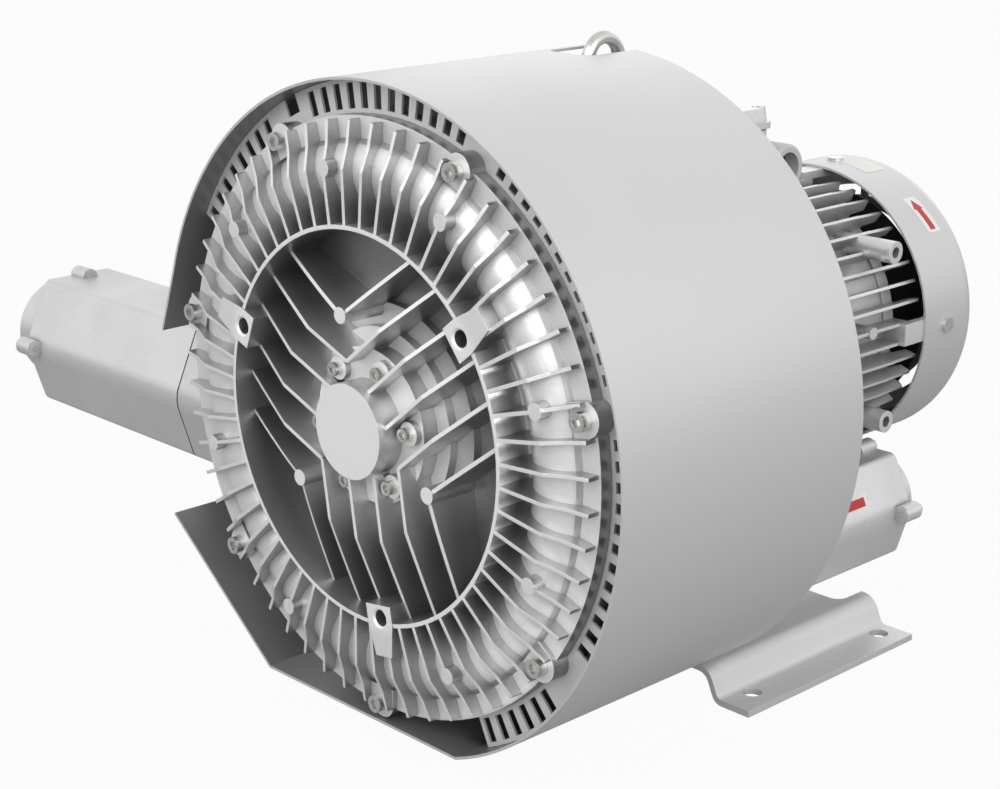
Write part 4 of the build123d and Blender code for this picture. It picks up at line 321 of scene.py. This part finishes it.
def cover_finish():
    """Cast paint with painted light and shade by where it lies and which way it looks: the recess's
    painted shade deepens with its depth.
    """
    look = cast_paint(
        "cover_paint", COVER_SILVER, COVER_SILVER_DARK, roughness=0.37, metallic=COVER_METALLIC
    )
    front = look.faces_front()
    inside_ring = look.by_radius(RECESS_EDGE_RADII, to_low=1.0, to_high=0.0)
    in_recess = look.times(inside_ring, look.by_radius(HUB_FADE_RADII, to_low=0.15, to_high=1.0))
    # How deep the recess's painted shade is, on its floor and on its sides
    on_floor = look.by_station(RECESS_DEPTHS, to_low=0.0, to_high=0.9)
    on_sides = look.by_station(RECESS_SIDE_DEPTHS, to_low=0.55, to_high=0.88)
    shade = look.maths("ADD", look.times(on_floor, front), look.times(on_sides, look.rest_of(front)))
    # Painted light on faces that look to the front, weaker on the outer ribs and on the recess floor
    painted_front_light = look.times(
        look.times(front, look.by_radius(RIB_START_RADII, to_low=0.92, to_high=0.55)),
        look.rest_of(look.times(in_recess, on_floor)),
    )
    # Painted shade on rib sides that look around the shaft, outside the recess
    painted_rib_side_shade = look.times(look.times(look.faces_around(), RIB_SIDE_SHADE_SHARE), look.rest_of(inside_ring))
    # Painted shade on the rim's wall that looks away from the shaft
    painted_rim_shade = look.times(
        look.spread(look.faces_axis(), -0.7, -0.5, to_low=RIM_SHARE, to_high=0.0),
        look.by_radius(OUTER_RIM_RADII),
    )
    look.blend(painted_front_light, PAINTED_FRONT_LIGHT)
    look.blend(painted_rib_side_shade, PAINTED_RIB_SIDE_SHADE)
    look.blend(painted_rim_shade, RIM_SHADE)
    # Painted shade in the recess, deepest on its floor and growing with depth on its sides
    look.blend(look.times(in_recess, shade), PAINTED_RECESS_SHADE)
    # Less metallic paint where the painted front light lies
    metallic = look.spread(painted_front_light, 0.0, 1.0, to_low=COVER_METALLIC, to_high=FRONT_LIGHT_METALLIC)
    look.link(metallic, look.shader.inputs["Metallic"])
    return look.done(edge=0.0007)


# Hood and cowl: painted sheet, with painted shade inside, almost black behind the hood's slotted ring

SILVER = (0.68, 0.68, 0.68)
SILVER_DARK = (0.44, 0.44, 0.445)
# Painted shade inside the hood, and painted shade almost black behind its slotted ring
PAINTED_HOOD_INSIDE_SHADE = (0.165, 0.168, 0.17)
PAINTED_SHADE_BEHIND_RING = (0.02, 0.02, 0.021)
# Painted shade inside the fan cowl
PAINTED_COWL_INSIDE_SHADE = (0.10, 0.10, 0.10)

# Distances behind the hood's front edge, heights, and distances right of the shaft's axis,
# over which the painted shade inside the hood deepens
RING_BACK_DEPTHS = (0.019, 0.032)
RING_TOP_HEIGHTS = (0.34, 0.38)
RING_RIGHT_PLACES = (0.05, 0.09)


def hood_finish():
    """Sheet paint, with painted shade on the inside, darkest behind the top and right of the slotted ring.
    """
    look = sheet_paint("hood_paint", (0.66, 0.66, 0.662), SILVER_DARK)
    inside = look.painted_inside_shade()
    at_top = look.spread(look.part_of(look.place(), "Z"), *RING_TOP_HEIGHTS)
    at_right = look.spread(look.across(), *RING_RIGHT_PLACES)
    shade_behind_ring = look.times(look.by_station(RING_BACK_DEPTHS), look.maths("MAXIMUM", at_top, at_right))
    # Painted shade on the hood's inside, and deeper painted shade behind the slotted ring
    look.blend(inside, PAINTED_HOOD_INSIDE_SHADE)
    look.blend(look.times(inside, shade_behind_ring), PAINTED_SHADE_BEHIND_RING)
    return look.done(edge=0.0006)


def cowl_finish():
    """Sheet paint with painted shade on its inside."""
    look = sheet_paint("cowl_paint", (0.66, 0.66, 0.67), SILVER_DARK)
    # Painted shade on the cowl's inside
    look.blend(look.painted_inside_shade(), PAINTED_COWL_INSIDE_SHADE)
    return look.done(edge=0.0006)


# One finish per material, each with the radius that its edges show

SILENCER_SILVER = (0.73, 0.73, 0.73)
SILENCER_DARK = (0.52, 0.52, 0.525)
MOTOR_SILVER = (0.80, 0.80, 0.80)
MOTOR_DARK = (0.56, 0.56, 0.57)
MACHINED_GRAIN = (1.0, 6.0, 1.0)
TURNED_GRAIN = (1.0, 8.0, 1.0)
LAMINATIONS = (0.2, 20.0, 0.2)

cover_paint = cover_finish()
hood_paint = hood_finish()
cowl_paint = cowl_finish()
casting_paint = cast_paint("casting_paint", SILVER, SILVER_DARK).done(edge=0.0008)
silencer_look = cast_paint("silencer_paint", SILENCER_SILVER, SILENCER_DARK, coarse=0.6, metallic=0.6)
silencer_paint = silencer_look.done(edge=0.0009)
motor_look = cast_paint("motor_paint", MOTOR_SILVER, MOTOR_DARK, coarse=0.7, metallic=0.6)
motor_paint = motor_look.done(edge=0.0006)
ring_paint = sheet_paint("ring_paint", (0.80, 0.80, 0.80), (0.6, 0.6, 0.6)).done(edge=0.0003)
foot_paint = sheet_paint("foot_paint", (0.66, 0.66, 0.665), SILVER_DARK).done(edge=0.0008)
zinc = plain_metal("zinc_plate", (0.74, 0.74, 0.72), 0.28).done(edge=0.0003)
machined = plain_metal("machined_aluminium", (0.78, 0.78, 0.78), 0.32, MACHINED_GRAIN).done(edge=0.0003)
turned = plain_metal("turned_steel", (0.62, 0.62, 0.62), 0.25, TURNED_GRAIN).done(edge=0.0003)
core_steel = plain_metal("laminated_steel", (0.30, 0.30, 0.32), 0.45, LAMINATIONS, 300.0).done(edge=0.0003)
impeller_look = cast_paint("impeller_aluminium", (0.70, 0.71, 0.72), (0.5, 0.5, 0.5), coarse=0.7)
impeller_metal = impeller_look.done(edge=0.0004)
copper = plain_metal("copper_winding", (0.45, 0.16, 0.06), 0.40, scale=260.0).done(edge=0.0005)
rubber = dull("black_rubber", (0.02, 0.02, 0.02), (0.045, 0.045, 0.045), 0.7).done(edge=0.0003)
foam = dull("grey_foam", (0.07, 0.07, 0.07), (0.12, 0.12, 0.12), 0.95, scale=420.0).done()
grey_plastic = dull("grey_plastic", (0.50, 0.505, 0.51), (0.58, 0.58, 0.58), 0.45).done(edge=0.0005)
black_plastic = dull("black_plastic", (0.02, 0.02, 0.02), (0.04, 0.04, 0.04), 0.45).done(edge=0.0004)
sticker_white = dull("sticker_white", (0.80, 0.79, 0.76), (0.70, 0.69, 0.66), 0.45, scale=300.0).done()
sticker_red = dull("sticker_red", (0.50, 0.035, 0.04), (0.42, 0.03, 0.03), 0.45, scale=300.0).done()

# The nodes of each finish. Bearings are turned steel, and all other small parts are zinc plated
finish_of = {
    "front_cover": cover_paint,
    "hood": hood_paint,
    "middle_casing": casting_paint,
    "rear_casing": casting_paint,
    "inlet_silencer": silencer_paint,
    "inlet_end_flange": silencer_paint,
    "outlet_silencer": silencer_paint,
    "outlet_end_flange": silencer_paint,
    "hood_ring": ring_paint,
    "hood_brackets": ring_paint,
    "fan_cowl": cowl_paint,
    "foot_bracket": foot_paint,
    "drive_end_shield": motor_paint,
    "motor_frame": motor_paint,
    "fan_end_shield": motor_paint,
    "terminal_box": motor_paint,
    "terminal_lid": motor_paint,
    "bearing_retainer": machined,
    "interstage_bush": machined,
    "stator_core": core_steel,
    "rotor_core": core_steel,
    "stator_windings": copper,
    "front_impeller": impeller_metal,
    "rear_impeller": impeller_metal,
    "cooling_fan": black_plastic,
    "terminal_block": black_plastic,
    "cable_gland": grey_plastic,
    "shaft_seal": rubber,
    "inlet_gasket": rubber,
    "outlet_gasket": rubber,
    "terminal_gasket": rubber,
    "gland_seal": rubber,
    "inlet_liner": foam,
    "outlet_liner": foam,
    "shaft": turned,
    "spacer_sleeve": turned,
    "front_spacer": turned,
    "fan_clip": turned,
}
for name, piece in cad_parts.items():
    finish = finish_of.get(name)
    if finish is None:
        finish = turned if "bearing" in name else zinc
    piece.data.materials.clear()
    piece.data.materials.append(finish)


# Pieces that the scene adds

def new_piece(name, mesh, finish):
    """Turns a finished bmesh into an object of one material."""
    data = bpy.data.meshes.new(name)
    mesh.to_mesh(data)
    mesh.free()
    piece = bpy.data.objects.new(name, data)
    bpy.context.scene.collection.objects.link(piece)
    data.materials.append(finish)
    bpy.context.view_layer.update()
    return piece


# Thin prints on the surfaces: the turning sign, a bare plate and the outlet's mark

COWL_RADIUS = 0.120
SHEET_LIFT = 0.00012
PRINT_LIFT = 0.00018

SIGN_CENTRE = (math.radians(45.5) * COWL_RADIUS, 0.5245)
SIGN_SIZE = (0.036, 0.0165)
SIGN_CORNER = 0.0015
SIGN_TILT = 0.12
ARROW_LENGTH = 0.031
ARROW_WIDTH = 0.0115
ARROW_SHAFT = 0.0066
ARROW_HEAD = 0.0105
ARROW_NECK = ARROW_LENGTH / 2 - ARROW_HEAD
ARROW_OUTLINE = (
    (-ARROW_LENGTH / 2, -ARROW_SHAFT / 2),
    (ARROW_NECK, -ARROW_SHAFT / 2),
    (ARROW_NECK, -ARROW_WIDTH / 2),
    (ARROW_LENGTH / 2, 0.0),
    (ARROW_NECK, ARROW_WIDTH / 2),
    (ARROW_NECK, ARROW_SHAFT / 2),
    (-ARROW_LENGTH / 2, ARROW_SHAFT / 2),
)

PLATE_CENTRE = (math.radians(83.0) * COWL_RADIUS, 0.524)
PLATE_SIZE = (0.044, 0.026)
PLATE_CORNER = 0.002

# The outlet silencer's upper sloped side, from its outer corner up the slope
OUTLET_SIDE = Vector((0.1275, 0.0, 0.093))
OUTLET_SLOPE = Vector((-0.0195, 0.0, 0.043)).normalized()
OUTLET_OUT = Vector((0.043, 0.0, 0.0195)).normalized()
MARK_CENTRE = (0.0195, station(0.404))
MARK_BACK_SIZE = (0.034, 0.015)
MARK_BACK_CORNER = 0.001
MARK_SIZE = (0.026, 0.0075)
MARK_CORNER = 0.0005


def rounded(size, corner, steps=5):
    """Corner points of a rounded rectangle about its centre."""
    width, height = size
    points = []
    for turn, (across, up) in enumerate(((1, 1), (-1, 1), (-1, -1), (1, -1))):
        for step in range(steps + 1):
            angle = math.radians(90 * turn + 90 * step / steps)
            points.append((
                across * (width / 2 - corner) + corner * math.cos(angle),
                up * (height / 2 - corner) + corner * math.sin(angle),
            ))
    return points


def patch(name, outline, placing, lift, finish, cuts=14):
    """A thin sheet of the given flat outline, laid on a surface by a placing function."""
    mesh = bmesh.new()
    corners = [mesh.verts.new((across, up, 0.0)) for across, up in outline]
    mesh.faces.new(corners)
    lowest = min(across for across, up in outline)
    highest = max(across for across, up in outline)
    for cut in range(1, cuts):
        where = lowest + (highest - lowest) * cut / cuts
        bmesh.ops.bisect_plane(
            mesh,
            geom=mesh.verts[:] + mesh.edges[:] + mesh.faces[:],
            plane_co=(where, 0.0, 0.0),
            plane_no=(1.0, 0.0, 0.0),
        )
    bmesh.ops.triangulate(mesh, faces=mesh.faces[:])
    for vertex in mesh.verts:
        vertex.co = placing(vertex.co.x, vertex.co.y, lift)
    return new_piece(name, mesh, finish)


def on_cowl(around, along, lift):
    """Point on the fan cowl, from a distance around it above its right side and a station."""
    angle = around / COWL_RADIUS
    radius = COWL_RADIUS + lift
    return (radius * math.cos(angle), station(along), SHAFT_HEIGHT + radius * math.sin(angle))


def on_sign(across, up, lift):
    """Point on the turning sign, which is stuck on a little askew."""
    return on_cowl(SIGN_CENTRE[0] + across, SIGN_CENTRE[1] + up - SIGN_TILT * across, lift)


def on_plate(across, up, lift):
    """Point on the bare plate."""
    return on_cowl(PLATE_CENTRE[0] + across, PLATE_CENTRE[1] + up, lift)


def on_outlet(across, up, lift):
    """Point on the upper sloped side of the outlet silencer."""
    place = OUTLET_SIDE + OUTLET_SLOPE * (MARK_CENTRE[0] + up) + OUTLET_OUT * lift
    place.y = MARK_CENTRE[1] + across
    return place


sign_sheet = rounded(SIGN_SIZE, SIGN_CORNER)
plate_sheet = rounded(PLATE_SIZE, PLATE_CORNER)
mark_sheet = rounded(MARK_BACK_SIZE, MARK_BACK_CORNER)
mark_print = rounded(MARK_SIZE, MARK_CORNER)
arrow_back = patch("turning_sign_back", sign_sheet, on_sign, SHEET_LIFT, sticker_white)
arrow = patch("turning_sign_arrow", ARROW_OUTLINE, on_sign, PRINT_LIFT, sticker_red)
plate = patch("bare_plate", plate_sheet, on_plate, SHEET_LIFT, sticker_white)
mark_back = patch("outlet_mark_back", mark_sheet, on_outlet, SHEET_LIFT, sticker_white, cuts=2)
mark = patch("outlet_mark", mark_print, on_outlet, PRINT_LIFT, sticker_red, cuts=2)

for piece in (arrow_back, arrow, plate, mark_back, mark):
    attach(piece, "housing")


# Ends of the motor's cooling fins, which run on under the fan cowl

FRAME_END = station(0.462)
FIN_COUNT = 44
FIN_HALF_THICKNESS = 0.00125
FIN_START = -0.0125
FIN_STEP = 0.0120
FIN_TIP = 0.0290
FIN_FOOT_RADIUS = 0.0945
FIN_FREE_FOOT_RADII = (0.0995, 0.1010)
FIN_TOP_RADII = (0.1118, 0.1110)
# Distance behind the frame's end, and radius. Each starts in the frame's fin, and its foot
# steps outwards behind the rim of the end shield
FIN_OUTLINE = (
    (FIN_START, FIN_FOOT_RADIUS),
    (FIN_STEP, FIN_FOOT_RADIUS),
    (FIN_STEP, FIN_FREE_FOOT_RADII[0]),
    (FIN_TIP, FIN_FREE_FOOT_RADII[1]),
    (FIN_TIP, FIN_TOP_RADII[1]),
    (FIN_START, FIN_TOP_RADII[0]),
)
# Degrees from one of the cowl's arms to the next, and to each side of an arm without a fin
ARM_PITCH = 90
ARM_HALF_ANGLE = 6.5


def fin_ends(name, finish):
    """Thin plates around the shaft, one behind each fin of the frame, but none at the cowl's arms."""
    mesh = bmesh.new()
    for index in range(FIN_COUNT):
        turn = 360 * (index + 0.5) / FIN_COUNT
        past_arm = turn % ARM_PITCH
        if min(past_arm, ARM_PITCH - past_arm) < ARM_HALF_ANGLE:
            continue
        angle = math.radians(turn)
        near, far = [
            [
                mesh.verts.new((
                    radius * math.cos(angle) - offset * math.sin(angle),
                    FRAME_END + along,
                    SHAFT_HEIGHT + radius * math.sin(angle) + offset * math.cos(angle),
                ))
                for along, radius in FIN_OUTLINE
            ]
            for offset in (-FIN_HALF_THICKNESS, FIN_HALF_THICKNESS)
        ]
        mesh.faces.new(near)
        mesh.faces.new(list(reversed(far)))
        for corner in range(len(near)):
            following = (corner + 1) % len(near)
            mesh.faces.new((near[following], near[corner], far[corner], far[following]))
    bmesh.ops.recalc_face_normals(mesh, faces=mesh.faces[:])
    return new_piece(name, mesh, finish)


fins = fin_ends("motor_fin_ends", motor_paint)
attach(fins, "housing")


# Floor and world: white where they are seen, and dimmer as light on the part

FLOOR_SIZE = 60.0
FLOOR_GREY = (0.24, 0.24, 0.24)
FLOOR_MIRRORED = 0.22
FLOOR_GLOW = 0.96
# The world dims from this rise of a direction, which is 0 at the horizon and 1 straight up
WORLD_OVERHEAD_START = 0.35
WORLD_OVERHEAD = 0.62
WORLD_DIFFUSE = 0.64
WHITE = (1.0, 1.0, 1.0, 1.0)


def seen_by(tree, mirrored):
    """1 for rays of the camera and through glass, a given share for reflections, and 0 for others."""
    path = tree.nodes.new("ShaderNodeLightPath")
    share = tree.nodes.new("ShaderNodeMath")
    share.operation = "MULTIPLY"
    share.inputs[1].default_value = mirrored
    tree.links.new(path.outputs["Is Glossy Ray"], share.inputs[0])
    seen = share.outputs["Value"]
    for ray in ("Is Camera Ray", "Is Transmission Ray"):
        join = tree.nodes.new("ShaderNodeMath")
        join.operation = "MAXIMUM"
        tree.links.new(seen, join.inputs[0])
        tree.links.new(path.outputs[ray], join.inputs[1])
        seen = join.outputs["Value"]
    return seen


def floor_look():
    """White floor for the camera, dim in reflections, that still takes a faint shadow."""
    look = Look("studio_floor", FLOOR_GREY, roughness=0.9)
    seen = seen_by(look.tree, FLOOR_MIRRORED)
    glow = look.node("ShaderNodeEmission")
    glow.inputs["Color"].default_value = WHITE
    glow.inputs["Strength"].default_value = 1.0
    mixed = look.node("ShaderNodeMixShader")
    look.link(look.times(seen, FLOOR_GLOW), mixed.inputs["Fac"])
    look.link(look.shader.outputs["BSDF"], mixed.inputs[1])
    look.link(glow.outputs["Emission"], mixed.inputs[2])
    look.link(mixed.outputs["Shader"], look.tree.nodes["Material Output"].inputs["Surface"])
    return look.material


def studio_world():
    """White at the horizon and dimmer overhead where it is seen or mirrored, and evenly dim as light."""
    world = bpy.data.worlds.new("studio")
    world.use_nodes = True
    tree = world.node_tree
    place = tree.nodes.new("ShaderNodeTexCoord")
    split = tree.nodes.new("ShaderNodeSeparateXYZ")
    overhead = tree.nodes.new("ShaderNodeMapRange")
    overhead.interpolation_type = "SMOOTHSTEP"
    overhead.inputs["From Min"].default_value = WORLD_OVERHEAD_START
    overhead.inputs["To Min"].default_value = 1.0
    overhead.inputs["To Max"].default_value = WORLD_OVERHEAD
    dimmed = tree.nodes.new("ShaderNodeMapRange")
    dimmed.inputs["To Min"].default_value = WORLD_DIFFUSE
    background = tree.nodes["Background"]
    background.inputs["Color"].default_value = WHITE
    tree.links.new(place.outputs["Generated"], split.inputs["Vector"])
    tree.links.new(split.outputs["Z"], overhead.inputs["Value"])
    tree.links.new(overhead.outputs["Result"], dimmed.inputs["To Max"])
    tree.links.new(seen_by(tree, 1.0), dimmed.inputs["Value"])
    tree.links.new(dimmed.outputs["Result"], background.inputs["Strength"])
    return world


bpy.ops.mesh.primitive_plane_add(size=FLOOR_SIZE, location=(0.0, 0.0, 0.0))
floor = bpy.context.object
floor.name = "studio_floor"
floor.data.materials.append(floor_look())
bpy.context.scene.world = studio_world()


# Lamps and camera

# Name, place, aim, width and height, and power in watts
LAMPS = (
    ("key_lamp", (2.7, -1.1, 1.35), (0.0, -0.1, 0.25), (3.4, 2.5), 54.0),
    ("front_lamp", (-0.2, -2.9, 1.8), (0.0, -0.3, 0.25), (2.8, 2.4), 29.0),
    ("top_lamp", (0.2, 0.2, 2.8), (0.0, 0.0, 0.2), (3.0, 3.0), 4.0),
    ("rear_lamp", (-1.5, 2.8, 1.5), (0.0, 0.1, 0.25), (3.2, 2.4), 10.0),
)


def area_lamp(name, place, aim, size, power):
    """Large rectangular lamp that looks at a point."""
    lamp = bpy.data.lights.new(name, "AREA")
    lamp.shape = "RECTANGLE"
    lamp.size, lamp.size_y = size
    lamp.energy = power
    made = bpy.data.objects.new(name, lamp)
    made.location = place
    made.rotation_euler = (Vector(aim) - Vector(place)).to_track_quat("-Z", "Y").to_euler()
    bpy.context.scene.collection.objects.link(made)


def photo_camera():
    """The photograph's camera, as it was fitted to the part."""
    data = bpy.data.cameras.new("camera")
    data.lens = CAMERA_LENS
    data.sensor_width = SENSOR_WIDTH
    data.sensor_fit = "HORIZONTAL"
    data.clip_end = CAMERA_REACH
    camera = bpy.data.objects.new("camera", data)
    camera.location = CAMERA_PLACE
    towards_camera = Vector((
        math.sin(CAMERA_AZIMUTH) * math.cos(CAMERA_ELEVATION),
        -math.cos(CAMERA_AZIMUTH) * math.cos(CAMERA_ELEVATION),
        math.sin(CAMERA_ELEVATION),
    ))
    camera.rotation_euler = (-towards_camera).to_track_quat("-Z", "Y").to_euler()
    bpy.context.scene.collection.objects.link(camera)
    return camera


for lamp_values in LAMPS:
    area_lamp(*lamp_values)
bpy.context.scene.camera = photo_camera()
bpy.context.scene.view_settings.view_transform = "Standard"
